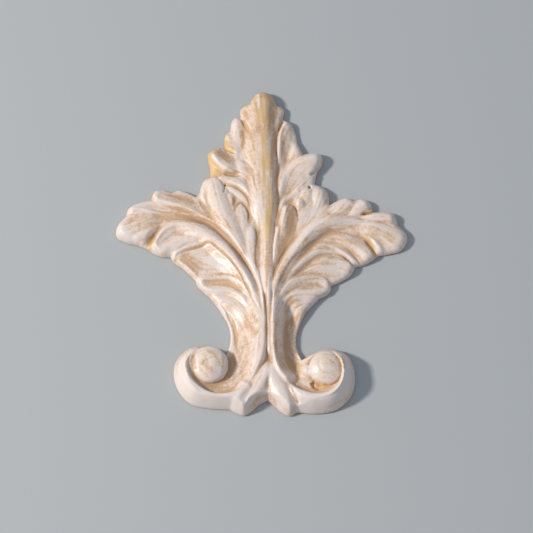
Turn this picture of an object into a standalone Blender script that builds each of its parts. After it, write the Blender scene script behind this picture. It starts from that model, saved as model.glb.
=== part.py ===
# Flexible fleur-de-lis moulding: one casting with a flat back and a carved face.
# It lies on its back. X runs across the leaves, Y from the feet to the leaf tip, Z up off the back.
import bmesh
import bpy
import numpy as np
from mathutils import Matrix

NAME = "fleur_de_lis_moulding"

# driving dimensions, in metres
LENGTH = 0.1083
CELL = 0.0005
TRIANGLES = 8200

# what counts as no length at all, and as one point, in drawing units
TINY = 1e-9
SAME_POINT = 0.02

# The drawing below has its own unit, a millimetre when the moulding has this length
DRAWN_LENGTH = 108.3
UNIT = LENGTH / DRAWN_LENGTH

# how the face meets the outline: upright edge, then a round shoulder of this width
EDGE_HEIGHT = 1.0
EDGE_ROLL = 2.2
THINNEST = 1.4

# the volutes below this line have a flared outer wall instead
VOLUTE_LINE = -31.0
VOLUTE_BLEND = 5.0
VOLUTE_EDGE = 0.8
VOLUTE_WALL = 3.1
VOLUTE_RIM = 6.1
VOLUTE_CURVE = 1.5
ABOVE_RIM = 2.0

# softness of the shoulders of a ridge, and of the creases where ridges meet
SHOULDER = 1.7
CREASE = 5.0
NARROWEST = 0.3

# softness of the ground between its levels
GROUND_SOFTNESS = 6.0
GROUND_SLACK = 0.5

# points on each curve between two drawn points
OUTLINE_STEPS = 8
SPINE_STEPS = 8

# Outline, anticlockwise from the tip. Each lobe is one smooth curve that ends where the next lobe starts,
# so the notches between the lobes stay sharp.
OUTLINE = [
    ("tip", [(4.9, 49.7), (2.8, 53.5), (0.4, 54.2), (-2, 53.4)]),
    ("left shoulder", [(-4, 50), (-6.2, 48.9), (-6.9, 47.5)]),
    ("left ear", [(-6.5, 45.5), (-8.2, 45.4), (-9.5, 44.1)]),
    ("left ear lower", [(-10, 40.6), (-11.4, 39.3), (-11.8, 37.3)]),
    ("left nose", [(-11.7, 34.6), (-14.4, 34.7), (-16.7, 33), (-17, 30.8), (-16.3, 27.7)]),
    ("left skirt", [(-16.1, 24.7), (-18, 23.6), (-19, 21.5), (-19.6, 19.1)]),
    ("left first scallop", [(-20.5, 17.9), (-23.4, 19.4), (-25.9, 20.1)]),
    ("left second scallop", [(-28, 19.3), (-30.9, 20.2), (-33.6, 19.7)]),
    ("left third scallop", [(-34.7, 16.7), (-38.7, 15.7), (-41.6, 13.9)]),
    ("left leaf tip", [(-42.4, 11.1), (-45, 7.8), (-45.1, 4.4), (-42.2, 2.5), (-38.8, 1.6)]),
    ("left fourth scallop", [(-35.9, 0.5), (-33.8, -1), (-31.2, -2.2)]),
    ("left fifth scallop", [(-28.2, -2.4), (-27, -4.5), (-24, -6.6)]),
    ("left sixth scallop", [(-20.4, -10.3), (-19.6, -12.4), (-17.9, -14.2)]),
    ("left waist", [(-15.9, -15.9), (-12.6, -20.6), (-10, -25.7), (-9.5, -30.5)]),
    ("left volute", [
        (-10.9, -35.1), (-13.9, -32.6), (-17.8, -32), (-23.3, -33.6), (-26.5, -38.1), (-25.9, -44.7),
        (-21.9, -50), (-16.2, -51.7)
    ]),
    ("left foot", [(-9.5, -52.1), (-7.4, -53.3), (-5.3, -54), (-3.1, -52.8), (-0.7, -50.6)]),
    ("right foot", [(2, -49.2), (4.4, -51.4), (6.5, -53.3), (8.7, -54.1)]),
    ("right volute", [
        (10.9, -52.9), (16.5, -53.4), (22.6, -52.2), (27, -48.2), (28.5, -42.4), (27.2, -36), (23.4, -33.3),
        (19.1, -33), (15.4, -34.4)
    ]),
    ("right waist", [(12.4, -36.2), (10.7, -32.2), (11, -27.2), (13.6, -21.1)]),
    ("right sixth scallop", [(17.7, -16.3), (20.2, -15), (21.4, -13.4)]),
    ("right fifth scallop", [(21.5, -12), (24.6, -10.5), (27.6, -8.5)]),
    ("right fourth scallop", [(29.1, -5.7), (31.8, -5), (34.3, -3.6)]),
    ("right leaf tip", [(36.2, -2), (39.3, -1.4), (43.1, -0.3), (45.2, 2.5), (45.1, 5.2)]),
    ("right third scallop", [(42.6, 8.1), (41.7, 11.6), (38.9, 12.8)]),
    ("right second scallop", [(34.9, 12.6), (34, 15.8), (31.6, 17.1)]),
    ("right first scallop", [(28.7, 16.7), (26.6, 17.5), (24, 16.7)]),
    ("right skirt", [(21.3, 15.1), (20.8, 19.2), (19, 21.2)]),
    ("right nose", [(16.7, 22.1), (17.4, 25.9), (19.3, 29.6), (18.5, 32.5), (15.6, 32.9)]),
    ("right ear", [(13.1, 32.5), (11.4, 36.4), (10.7, 39.8), (9.2, 43.3)]),
    ("right shoulder", [(6.7, 44.8), (7.2, 47.7), (6.3, 49.1)]),
]

# Ground under the carving: x, y and height
LEVELS = [
    (0.5, 52, 2.4), (0.5, 46, 3.1), (-5, 46.5, 2.3), (6.3, 46.5, 2), (-8.5, 42, 2.2), (8.5, 41, 1.8),
    (-10, 37, 2), (9.5, 36, 1.7), (-4, 38, 3.1), (4.4, 38, 2.9), (-5, 32, 3.2), (4.5, 30, 3),
    (-3, 24, 3.5), (4.6, 22, 3.2), (-3.2, 14, 3.6), (4.5, 14, 3.4), (-1.5, 2, 4.1), (3, 3, 4.1),
    (0.5, -8, 4.7), (3, -8, 4.6), (1.5, -18, 5), (2, -28, 4.7), (2, -36, 4.7), (-15, 31, 3.2),
    (-12, 29, 3.2), (-15, 26, 2), (16, 30, 2.9), (13, 29, 3), (15.5, 25, 2.4), (10.5, 24, 2.3), (8, 33, 2.1),
    (-9, 34, 2.2), (-16, 21, 3), (-13, 16, 3.4), (-9, 8, 4), (-5, 0, 4.5), (17.5, 17, 2.8), (14, 16, 3.2),
    (15, 12, 3.2),
    (8, 10, 3.4), (6, 0, 3.9), (12, 11, 3.4), (-22, 17, 2.5), (-30, 18, 2.5), (-38, 13, 2.9), (-43, 7, 3.1),
    (-40, 3.5, 3.1), (-34, 9, 3.2), (-27, 11, 3.2), (-20, 8, 3.4), (-14, 2.5, 4), (-9, -3, 4.5),
    (-5, -10, 4.8), (-30, 1, 2.8), (-24, -1, 3), (-24, -5, 2.5), (-18, -4, 2.8), (-12, -7, 3.2),
    (-8, -12, 3.6), (-17, -12, 2.5), (-13, -15, 2.7), (-8, -19, 3.2), (-10.5, -26, 2), (-9.5, -32, 2.2),
    (-7.5, -28, 2.5), (-7.6, -34, 2.7), (-3, -28, 4.2), (-3, -36, 4.2), (-1, -22, 4.6), (24, 15, 2.2),
    (32, 14.5, 2.2), (39, 10, 2.4), (43, 4, 2.2), (41, 0, 2.1), (34, -3, 2.2), (28, -5.5, 2.2), (24, -9, 2.1),
    (35, 5, 2.8), (28, 4, 2.9), (22, 3, 3.2), (16, -3, 3.5), (22, 8.5, 3.5), (14, 2, 4), (9, -5, 4.5),
    (6, -12, 4.8), (18, -13, 2.6), (13, -12, 3.1), (9, -18, 3.3), (14, -19, 3), (11.5, -27, 2.8),
    (11, -33, 2.9), (8, -30, 2.5), (8.2, -38, 2.7), (5, -28, 3.6), (5.4, -20, 3.8), (-5, -43, 3.8),
    (-10, -46, 3.8), (-17, -45.5, 4.2), (-21.5, -41, 6.3), (-15, -39, 4.4), (-9, -39, 3), (-18, -33.5, 4.6),
    (7, -42, 3.4), (12, -44, 2.9), (17, -46, 3.2), (24, -43, 4.6), (20, -40, 4.4), (13, -39, 3.2),
    (20, -34.5, 4.5), (-7, -49.6, 4.5), (-2, -47, 4.9), (-4.5, -50.5, 4.7), (2, -48, 4), (6, -48, 4.7),
    (8, -51.5, 4.1),
    (2, -42, 4.4), (-20.5, -36, 6), (24, -37.5, 4.8),
]

# Ridges: half width left and right of the line, rise, the part of the line that the root and the tip take
# to rise and fall, roundness of the profile, and the line from root to tip
RIDGES = [
    ("midrib", 6.8, 3.9, 2.1, 0.35, 0, 2.8, [
        (2, 0), (1.8, 12), (1.5, 22), (1.1, 32), (0.7, 40), (0.4, 50)
    ]),
    ("midrib root", 2.8, 2.2, 1.2, 0.2, 0.3, 2.4, [
        (2.2, -22), (2.2, -10), (2.2, 0), (2, 10), (1.8, 18)
    ]),
    ("tip", 6.6, 6.4, 1.2, 0.5, 0, 2.2, [
        (0.6, 32), (0.4, 42), (0.4, 50)
    ]),
    ("left shoulder", 2.4, 2.6, 0.5, 0.5, 0, 2, [
        (-1.6, 37), (-3.6, 43), (-5.4, 46.6)
    ]),
    ("right shoulder", 3, 2.8, 0.5, 0.5, 0, 2, [
        (2.5, 38), (4.6, 43), (5.9, 46.6)
    ]),
    ("left ear", 2.8, 3, 0.7, 0.6, 0, 2.2, [
        (-7.2, 32), (-7.6, 37), (-8.2, 42.3)
    ]),
    ("left ear lower", 2.6, 3, 0.6, 0.7, 0, 2.2, [
        (-7.6, 29), (-8.8, 33.4), (-9.9, 36.8)
    ]),
    ("right ear rim", 1.2, 4.4, 1, 0.5, 0, 1.7, [
        (5.4, 27), (5.6, 34.5), (6.4, 39.8), (7.6, 42.4)
    ]),
    ("right ear lower", 2.6, 2.6, 0.5, 0.6, 0, 2, [
        (8.2, 28), (9.8, 31.8), (11.2, 34.6)
    ]),
    ("left nose", 1.5, 5, 1.6, 0.5, 0, 1.2, [
        (-5.6, 25.4), (-9.4, 25.9), (-12, 27.2), (-13.9, 28.9), (-15.4, 31.2)
    ]),
    ("left nose back", 4, 1.6, 0.6, 0.5, 0.4, 2.2, [
        (-2.8, 19), (-4.2, 24.4), (-6, 27.8), (-9, 30.6)
    ]),
    ("left lobe four", 2, 2.4, 0.8, 0.5, 0, 1.6, [
        (-2.9, 13), (-4.3, 18.6), (-6.8, 21.4), (-10, 22.6), (-13.2, 23.5)
    ]),
    ("left lobe four rib", 1.4, 1.5, 0.4, 0.5, 0, 1.8, [
        (-3.3, 10.5), (-4.6, 14.8), (-6.7, 17.7), (-10, 19.8)
    ]),
    ("left small bead", 2.2, 1.4, 0.6, 0.8, 0, 2.2, [
        (-8.4, 9.5), (-9.2, 13.2), (-9.7, 17)
    ]),
    ("left bead lobe", 4.4, 2.8, 0.6, 0.8, 0, 2.6, [
        (-3.8, -1), (-5.4, 5.5), (-6.2, 11.8)
    ]),
    ("left long lobe", 3, 2.2, 0.75, 0.7, 0, 2.2, [
        (-1, -13), (-2.5, -5), (-2.9, 0.6), (-3, 4.6)
    ]),
    ("left skirt ridge", 4, 4.6, 1.4, 0.65, 0, 2.2, [
        (-2, -11), (-5.4, -3), (-8.8, 4), (-11.8, 10.6), (-13.8, 16.4), (-15, 21.2)
    ]),
    ("left skirt rim", 1.6, 1.8, 0.5, 0.6, 0, 1.6, [
        (-16.4, 12.6), (-17.4, 15.4), (-18, 18.4), (-17.4, 21.4)
    ]),
    ("right nose", 3, 7.4, 1.5, 0.4, 0, 1.7, [
        (5.4, 15), (7.2, 22.6), (10.4, 28), (16.2, 30.2)
    ]),
    ("right nose lower", 3.6, 3, 0.6, 0.4, 0, 2, [
        (8, 16), (11.2, 22), (14.6, 26.4)
    ]),
    ("right lobe four", 1.5, 1.8, 0.6, 0.5, 0.1, 1.6, [
        (5.2, 9.5), (6.4, 14.2), (8.8, 17.6), (12.4, 20)
    ]),
    ("right button", 2.2, 2, 1.1, 0.8, 0, 2.2, [
        (11.6, 12.4), (11.9, 13.8), (12.1, 15)
    ]),
    ("right bead lobe", 1.4, 4.4, 1.5, 0.6, 0, 1.5, [
        (5.2, -1), (6.2, 5), (6.7, 9), (7.6, 12.4)
    ]),
    ("right long lobe", 1.1, 4, 1.3, 0.7, 0, 1.4, [
        (2.9, -13), (3.8, -5), (4.3, 0.8), (5, 5.2)
    ]),
    ("right skirt inner", 2.6, 2.4, 0.7, 0.9, 0, 2.4, [
        (13, 13.4), (13.6, 15.6), (14.2, 18)
    ]),
    ("right skirt outer", 2.8, 3.2, 1, 0.9, 0, 2.6, [
        (16.6, 12.8), (17.6, 15.4), (18.2, 17.8)
    ]),
    ("left leaf upper ridge", 1.2, 4.2, 1, 0.5, 0, 1.2, [
        (-16.4, 8.8), (-22.1, 12.5), (-28.3, 14.6), (-32, 15.8), (-33.6, 17.2)
    ]),
    ("left leaf main rib", 4.4, 3, 1.4, 0.15, 0.3, 2, [
        (0.2, -20), (-3, -12.8), (-6.4, -7.6), (-9.4, -3.4), (-13, 0.4), (-16.6, 3.6), (-20.8, 6.2),
        (-26, 7.6), (-33, 8.4)
    ]),
    ("left tip pad", 5.4, 5.6, 1, 0.6, 0, 2, [
        (-30, 9.5), (-36, 8.4), (-41.8, 6.2)
    ]),
    ("left tip upper pad", 2.6, 2.2, 0.5, 0.6, 0, 2, [
        (-31, 11.5), (-36, 12.6), (-40, 12.8)
    ]),
    ("left tip lower pad", 1.8, 2.4, 0.6, 0.5, 0, 2, [
        (-31, 8), (-35.4, 5), (-38.8, 3)
    ]),
    ("left lobe b rim", 3.6, 1.2, 0.9, 0.4, 0, 1.2, [
        (-22, 8), (-26.4, 7.6), (-30, 5.9), (-32.2, 3), (-32.8, 0.6), (-31, -1.6)
    ]),
    ("left lobe b pad", 2.2, 3.2, 0.7, 0.4, 0, 1.8, [
        (-14, 5.4), (-20, 3), (-25, 1.6), (-29, 0), (-30.4, -1.6)
    ]),
    ("left lobe c rim", 1.1, 1.3, 0.65, 0.3, 0, 1.5, [
        (-5.5, -7), (-9.5, -2.6), (-13, 0.6), (-16.2, 2), (-18.2, 1.1), (-21, 0.4), (-24, -0.4),
        (-26.4, -1.8), (-27.6, -3.6)
    ]),
    ("left lobe c swell", 3.4, 3.4, 0.5, 0.3, 0.3, 2, [
        (-2.4, -17), (-5.6, -11.6), (-9.6, -7.6), (-14.6, -5.8)
    ]),
    ("left lobe c edge", 2.4, 1.4, 0.6, 0.2, 0.3, 1.5, [
        (-19.6, -10.6), (-21.4, -8.4), (-24, -6), (-26.2, -3.6)
    ]),
    ("left lobe d upper rib", 1.5, 1.3, 0.6, 0.3, 0, 1.5, [
        (-1.6, -21), (-4.6, -14.6), (-8, -10.8), (-12, -9.5), (-16, -9.6), (-19, -11)
    ]),
    ("left lobe d lower rib", 1.7, 1.9, 0.6, 0.3, 0, 1.6, [
        (-2.6, -23), (-5.8, -17.4), (-9.6, -14.9), (-14, -14.4), (-17.6, -13.6), (-19, -11.8)
    ]),
    ("left lobe e rib", 2.4, 2.2, 0.4, 0.4, 0, 2, [
        (-3.6, -28), (-6, -22), (-9.6, -18.4), (-14.2, -16.7)
    ]),
    ("left waist bead", 1.1, 1.5, 0.8, 0.1, 0.2, 1.6, [
        (-14, -18), (-11.4, -22), (-10.1, -26), (-9.5, -31), (-9.8, -35)
    ]),
    ("right leaf upper ridge", 3, 3.4, 1.5, 0.15, 0.3, 1.9, [
        (3, -20), (4.3, -14.4), (5.8, -10), (8.1, -5.6), (10.8, -1.2), (13.6, 2.6), (16.6, 5.9), (20, 8),
        (24.4, 9), (29.6, 8.8), (36, 7)
    ]),
    ("right leaf second ridge", 1.5, 2, 0.55, 0.2, 0.25, 1.4, [
        (4.6, -19), (8.2, -10.6), (11.1, -6.7), (14, -3.8), (17.4, -1.6), (21.6, -0.6)
    ]),
    ("right lobe d rim", 1.4, 2.8, 0.6, 0.3, 0, 1.3, [
        (3.8, -22), (5.5, -16.6), (7.4, -13.6), (10.1, -11.4), (12.9, -10.5), (15.7, -10.1), (18.8, -10.3),
        (20.6, -11.8)
    ]),
    ("right lobe d lower rib", 1.3, 2.8, 0.5, 0.4, 0, 1.6, [
        (5.2, -23), (7.4, -17.6), (10.4, -15.7), (14.7, -15), (19, -15)
    ]),
    ("right lobe c pad", 4, 3.4, 1, 0.5, 0, 2.2, [
        (13, -9), (18, -6.8), (24, -6.2), (27, -7)
    ]),
    ("right lobe c bead", 1.2, 1.2, 0.8, 0.6, 0, 1.8, [
        (19, 1), (22.8, -0.2), (26.4, -2.4), (29.2, -5), (30.6, -6.6)
    ]),
    ("right lobe b pad", 3, 2.6, 1, 0.5, 0, 2.2, [
        (20, 3.8), (26.6, 2), (31, -0.6), (33.4, -3.2)
    ]),
    ("right lobe b bead", 1.8, 1.3, 0.8, 0.6, 0, 1.8, [
        (29, 5), (33.6, 3.4), (36.2, 0.4), (37.2, -1.8)
    ]),
    ("right first pad", 3.4, 3, 0.8, 0.8, 0, 2.4, [
        (20, 8.6), (24.4, 12.6), (26.8, 15.4)
    ]),
    ("right second pad", 2.4, 2.4, 1, 0.8, 0, 2.4, [
        (26, 9.6), (29.8, 12.8), (32, 14.6)
    ]),
    ("right third pad", 2.4, 2.6, 0.9, 0.7, 0, 2.4, [
        (30, 9), (35.6, 10.4), (39.6, 10.2)
    ]),
    ("right tip pad", 4.6, 4.6, 1, 0.5, 0, 2.2, [
        (28, 7.6), (36, 5.8), (42, 3)
    ]),
    ("stem bead", 1.7, 1.5, 1.4, 0.1, 0.5, 2.2, [
        (2.9, -38), (2.6, -34), (2.4, -28), (2.3, -20), (2.2, -10), (2, 4)
    ]),
    ("left stem rim", 1.7, 6.6, 1.7, 0.4, 0.28, 1.8, [
        (-2.4, -4), (-0.8, -11), (0.2, -18), (0.7, -24), (0.8, -30), (0.3, -35), (-0.9, -39.2), (-3.2, -43.6),
        (-6, -47)
    ]),
    ("left volute rim", 3.6, 1, 1.7, 0.2, 0.5, 2.6, [
        (-2.6, -43), (-4.8, -46.2), (-8.4, -48.4), (-13.5, -48.9), (-18, -47.3), (-21.6, -43.9),
        (-22.7, -39.8), (-21.6, -36), (-18.4, -34.2)
    ]),
    ("right stem rim", 5, 1.3, 2.3, 0.4, 0.1, 1.5, [
        (4.6, -8), (3.9, -16), (3.6, -22), (3.5, -30), (3.9, -36.5), (5.2, -40.6), (7.4, -43.8), (9.6, -46.6)
    ]),
    ("right volute rim", 2, 3.6, 3, 0.3, 0.2, 2.4, [
        (6, -42), (8.2, -45), (11.4, -47.7), (15.6, -49.3), (20.4, -49), (24, -46.4), (25.7, -42.5),
        (25.3, -38.2), (22.8, -35.8), (19.6, -35)
    ]),
    ("right bridge", 2.8, 2.4, 1.4, 0.4, 0, 2.2, [
        (11.6, -38.4), (14.4, -40.8), (18, -41.4)
    ]),
    ("left foot outer", 3.6, 3, 1.3, 0.3, 0, 2, [
        (-3, -43.8), (-5.6, -47.4), (-7.4, -50.6)
    ]),
    ("left foot inner", 2.8, 3.8, 1, 0.3, 0, 2, [
        (2.6, -37), (1.4, -42), (-0.8, -46.2), (-3, -50.2)
    ]),
    ("right foot", 3.6, 3.4, 1.3, 0.3, 0, 2.4, [
        (3, -37), (4.2, -42.4), (6, -46.8), (7.2, -50.6)
    ]),
]

# Cuts between the ridges, in the same order: half widths, depth, root, tip and line
CUTS = [
    ("left ear cut", 0.8, 0.8, 0.6, 0.4, 0, [
        (-4, 38), (-4.8, 41), (-6.9, 45.2)
    ]),
    ("right ear cut", 0.8, 0.8, 0.7, 0.4, 0, [
        (4.9, 38.6), (5.6, 41), (6.8, 44.6)
    ]),
    ("left nose cut", 0.7, 0.7, 0.6, 0.4, 0, [
        (-7.5, 31.8), (-9.2, 32.6), (-11.8, 34.4)
    ]),
    ("left crease", 0.5, 0.5, 0.3, 0.3, 0.3, [
        (-1.9, 18), (-2.3, 23), (-3.2, 26.4), (-5, 29), (-7.4, 30.9)
    ]),
    ("left nose hollow", 0.9, 1, 0.45, 0.4, 0.2, [
        (-6, 24.3), (-9, 24.4), (-12, 25.2)
    ]),
    ("left slot", 0.5, 0.5, 0.5, 0.3, 0.2, [
        (-11.9, 17.6), (-11.6, 19.5), (-11.6, 21)
    ]),
    ("left skirt slot", 0.5, 0.5, 0.3, 0.3, 0.1, [
        (-11.7, 20), (-12.4, 22), (-14.2, 24)
    ]),
    ("left lobe four crease", 0.5, 0.6, 0.25, 0.3, 0.3, [
        (-3.4, 12), (-4.4, 16.4), (-6.6, 19.2), (-10, 21.2)
    ]),
    ("left bead crease", 0.6, 0.7, 0.35, 0.3, 0.2, [
        (-8.7, 11), (-7.9, 13.4), (-6.2, 14.7), (-4.7, 13), (-3.9, 10.4), (-4.3, 7.2)
    ]),
    ("left long crease", 0.6, 0.7, 0.25, 0.15, 0.4, [
        (-3.4, 6.9), (-2.2, 6.2), (-1.4, 3.6), (-1.4, 1), (-1.7, -3), (-1.2, -9)
    ]),
    ("left main groove", 2.2, 1, 1.1, 0.2, 0.3, [
        (0.8, -24), (-0.8, -15), (-2.6, -10.2), (-4.8, -5.9), (-7.2, -1.7), (-9.6, 1.9), (-12.2, 4.7),
        (-14.8, 7), (-17.6, 8.9), (-21.4, 10.2), (-26, 11), (-31, 11)
    ]),
    ("left thin groove", 0.45, 0.45, 0.4, 0.2, 0.1, [
        (0.6, -24), (-1.8, -19.6), (-4.1, -14.7), (-5.8, -10.7), (-7.6, -7.6), (-9.8, -4.5), (-12.4, -2),
        (-15.1, 0.5), (-16.7, 1.5)
    ]),
    ("left tip notch", 1, 2.4, 1.5, 0.5, 0, [
        (-29.6, 7.2), (-32.2, 5.4), (-34.2, 2.4), (-36, -0.8)
    ]),
    ("left lobe b hollow", 1.6, 1.6, 0.2, 0.5, 0.5, [
        (-20, 5), (-24, 4.6), (-27, 4.4), (-29.6, 3)
    ]),
    ("left lobe b cut", 0.5, 0.5, 0.35, 0.3, 0, [
        (-19.6, 1.7), (-23, 1), (-25.4, -0.5), (-27.6, -2.2), (-29.6, -3.6)
    ]),
    ("left lobe c crease", 0.4, 0.4, 0.2, 0.2, 0.2, [
        (-16.4, 1), (-17.6, 0.2), (-20, -0.4), (-23, -0.9), (-25.4, -2.4)
    ]),
    ("left waist groove", 1, 1.1, 0.5, 0.2, 0.3, [
        (-11, -20.5), (-8.8, -25), (-7.7, -29.5), (-7.6, -34)
    ]),
    ("left stem groove", 0.4, 0.4, 0.12, 0.2, 0.2, [
        (0.2, -12), (1.1, -19), (1.6, -25), (1.8, -31), (1.5, -35.6), (0.5, -39)
    ]),
    ("right channel", 6, 4.4, 2, 0.4, 0.3, [
        (7.6, -14), (8.4, -20), (8.5, -27), (8.5, -33), (9.3, -38), (10.8, -42), (13, -44.6)
    ]),
    ("right leaf groove", 1.6, 2.2, 0.4, 0.2, 0.3, [
        (3.4, -20), (5.8, -13.2), (8.8, -7), (12.4, -2.6), (17, 1.6), (22, 5), (28, 6.2)
    ]),
    ("right groove above", 0.7, 0.7, 0.3, 0.2, 0.4, [
        (3.2, -15), (4.2, -9.6), (6.6, -3.4), (9.6, 1.6), (13.4, 6.4)
    ]),
    ("right second hollow", 1, 1, 0.25, 0.3, 0.3, [
        (9, -10.8), (12.5, -8), (17, -5.2), (21, -3.6)
    ]),
    ("right lobe c cut", 0.5, 0.5, 0.7, 0.3, 0, [
        (24.4, -2.2), (26.6, -4), (28.4, -5.9), (29.6, -7.6)
    ]),
    ("right lobe b hollow", 0.5, 0.5, 0.25, 0.3, 0, [
        (26, 0.2), (28.6, -2.4), (30.4, -4.6), (31.4, -6)
    ]),
    ("right lobe b cut", 0.9, 1.3, 0.9, 0.3, 0, [
        (31.6, 3.2), (33.4, 1.4), (34.8, -1), (35.9, -3.6)
    ]),
    ("right third crease", 0.5, 0.5, 0.3, 0.2, 0.2, [
        (29, 10), (34, 9.4), (38.6, 8.1), (42.4, 6.2)
    ]),
    ("right upper slot", 0.7, 0.6, 1.2, 0.4, 0, [
        (30.6, 11.3), (32.4, 11.6), (34.6, 12)
    ]),
    ("right nose notch", 0.7, 0.9, 0.9, 0.4, 0, [
        (14.6, 24.6), (16, 25.2), (18, 26.4)
    ]),
    ("right bead crease", 0.6, 0.6, 0.4, 0.2, 0.4, [
        (8, 14.6), (9.8, 14.2), (10.9, 12.6), (11.2, 10.6), (11.9, 8.4)
    ]),
    ("right pit", 1.5, 1.5, 1.3, 0.12, 0.3, [
        (15.7, -43.8), (16.3, -45.4), (18.6, -46.3)
    ]),
    ("foot valley", 0.8, 0.8, 0.2, 0.3, 0.2, [
        (2.2, -42.5), (1.8, -46), (1.9, -49)
    ]),
    ("right foot cut", 0.6, 0.6, 0.6, 0.3, 0.1, [
        (9, -46), (10.2, -48.4), (11.4, -51.4)
    ]),
    ("left upper crease", 0.5, 0.6, 0.25, 0.2, 0.3, [
        (-17.6, 8.6), (-20.8, 10.6), (-24, 12.2), (-28, 13.4), (-32.6, 14.6)
    ]),
]

# balls in the eyes of the volutes: centre, radius, foot and top
BALLS = [
    ("left", (-15.8, -39.1), 5.8, 4.8, 7.5),
    ("right", (19.8, -40.0), 5.4, 4.4, 7.2),
]
BALL_ROUND = 0.58

# whitewashed resin
PAINT_COLOUR = (0.74, 0.60, 0.50, 1.0)
PAINT_ROUGHNESS = 0.48


def smooth_step(u):
    u = np.clip(u, 0, 1)
    return u * u * (3 - 2 * u)


def curve_through(points, steps):
    """Catmull-Rom curve through the drawn points."""
    p = np.asarray(points, float)
    p = np.vstack([2 * p[0] - p[1], p, 2 * p[-1] - p[-2]])
    t = np.linspace(0, 1, steps, endpoint=False)[:, None]
    parts = []
    for a, b, c, d in zip(p, p[1:], p[2:], p[3:]):
        bend = (2 * a - 5 * b + 4 * c - d) * t**2 + (3 * b - a - 3 * c + d) * t**3
        parts.append(b + 0.5 * ((c - a) * t + bend))
    parts.append(p[-2:-1])
    return np.vstack(parts)


def outline_ring():
    """The whole outline as one closed ring of points."""
    runs = [run for name, run in OUTLINE]
    starts = [run[0] for run in runs[1:]] + [runs[0][0]]
    return np.vstack([curve_through(run + [end], OUTLINE_STEPS)[:-1] for run, end in zip(runs, starts)])


def inside(x, y, ring):
    """Which points lie within the ring, by counting the sides that each looks across."""
    found = np.zeros(x.shape, bool)
    for (ax, ay), (bx, by) in zip(ring, np.roll(ring, -1, 0)):
        if ay != by:
            found ^= ((ay > y) != (by > y)) & (x < (bx - ax) * (y - ay) / (by - ay) + ax)
    return found


def nearest_on_line(x, y, line):
    """For each point: the nearest place on the line, its distance, side and how far along it lies."""
    best = np.full(x.shape, np.inf)
    place = np.zeros((2,) + x.shape)
    sine = np.zeros(x.shape)
    along = np.zeros(x.shape)
    start = 0.0
    for a, b in zip(line, line[1:]):
        run = b - a
        length = max(np.hypot(*run), TINY)
        t = np.clip(((x - a[0]) * run[0] + (y - a[1]) * run[1]) / length**2, 0, 1)
        dx, dy = x - a[0] - t * run[0], y - a[1] - t * run[1]
        gap = np.hypot(dx, dy)
        near = gap < best
        best[near] = gap[near]
        place[:, near] = np.array([a[0] + t * run[0], a[1] + t * run[1]])[:, near]
        sine[near] = ((run[0] * dy - run[1] * dx) / (length * np.maximum(gap, TINY)))[near]
        along[near] = (start + t * length)[near]
        start += length
    return place, best, sine, along / start


def stroke(x, y, points, left, right, root, tip):
    """Where a ridge or cut reaches: the points, how far across it they lie (0 to 1) and its strength."""
    line = curve_through(points, SPINE_STEPS)
    reach = max(left, right)
    low, high = line.min(0) - reach, line.max(0) + reach
    which = np.nonzero((x > low[0]) & (x < high[0]) & (y > low[1]) & (y < high[1]))[0]
    place, gap, sine, along = nearest_on_line(x[which], y[which], line)
    strength = np.ones(which.shape)
    if root:
        strength *= smooth_step(along / root)
    if tip:
        strength *= smooth_step((1 - along) / tip)
    width = (left + right) / 2 + (left - right) / 2 * sine
    width *= NARROWEST + (1 - NARROWEST) * strength
    return which, np.clip(gap / width, 0, 1), strength


def ground(x, y):
    """Smooth surface through the levels."""
    p = np.array(LEVELS, float)
    n = len(p)
    far = np.hypot(p[:, :1] - p[:, 0], p[:, 1:2] - p[:, 1])
    system = np.zeros((n + 3, n + 3))
    system[:n, :n] = GROUND_SLACK * np.eye(n) - np.hypot(far, GROUND_SOFTNESS)
    system[:n, n] = 1
    system[:n, n + 1:] = p[:, :2]
    system[n:, :n] = system[:n, n:].T
    weights = np.linalg.solve(system, np.concatenate([p[:, 2], np.zeros(3)]))
    height = weights[n] + weights[n + 1] * x + weights[n + 2] * y
    for (px, py, level), weight in zip(p, weights):
        height -= weight * np.sqrt((x - px) ** 2 + (y - py) ** 2 + GROUND_SOFTNESS**2)
    return height


def relief(x, y, edge):
    """Height of the face at each point that lies the distance edge within the outline."""
    raised = np.zeros(x.shape)
    for name, left, right, rise, root, tip, power, points in RIDGES:
        which, across, strength = stroke(x, y, points, left, right, root, tip)
        raised[which] += (rise * strength * (1 - across**power) ** SHOULDER) ** CREASE
    sunk = np.zeros(x.shape)
    for name, left, right, depth, root, tip, points in CUTS:
        which, across, strength = stroke(x, y, points, left, right, root, tip)
        sunk[which] = np.maximum(sunk[which], depth * strength * (1 - smooth_step(across)))
    height = np.maximum(ground(x, y) + raised ** (1 / CREASE) - sunk, THINNEST)

    u = np.clip(edge / EDGE_ROLL, 0, 1)
    leafy = EDGE_HEIGHT + (height - EDGE_HEIGHT) * np.sqrt(1 - (1 - u) ** 2)
    u = np.clip(edge / VOLUTE_WALL, 0, 1)
    wall = VOLUTE_EDGE + (VOLUTE_RIM - VOLUTE_EDGE) * (1 - (1 - u) ** VOLUTE_CURVE)
    wall += ABOVE_RIM * np.maximum(edge - VOLUTE_WALL, 0)
    height = leafy + (np.minimum(height, wall) - leafy) * smooth_step((VOLUTE_LINE - y) / VOLUTE_BLEND)

    for name, (cx, cy), radius, foot, top in BALLS:
        across = np.hypot(x - cx, y - cy) / radius
        dome = foot + (top - foot) * np.maximum(1 - across**2, 0) ** BALL_ROUND
        height = np.where(across < 1, np.maximum(height, dome), height)
    return height


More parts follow.
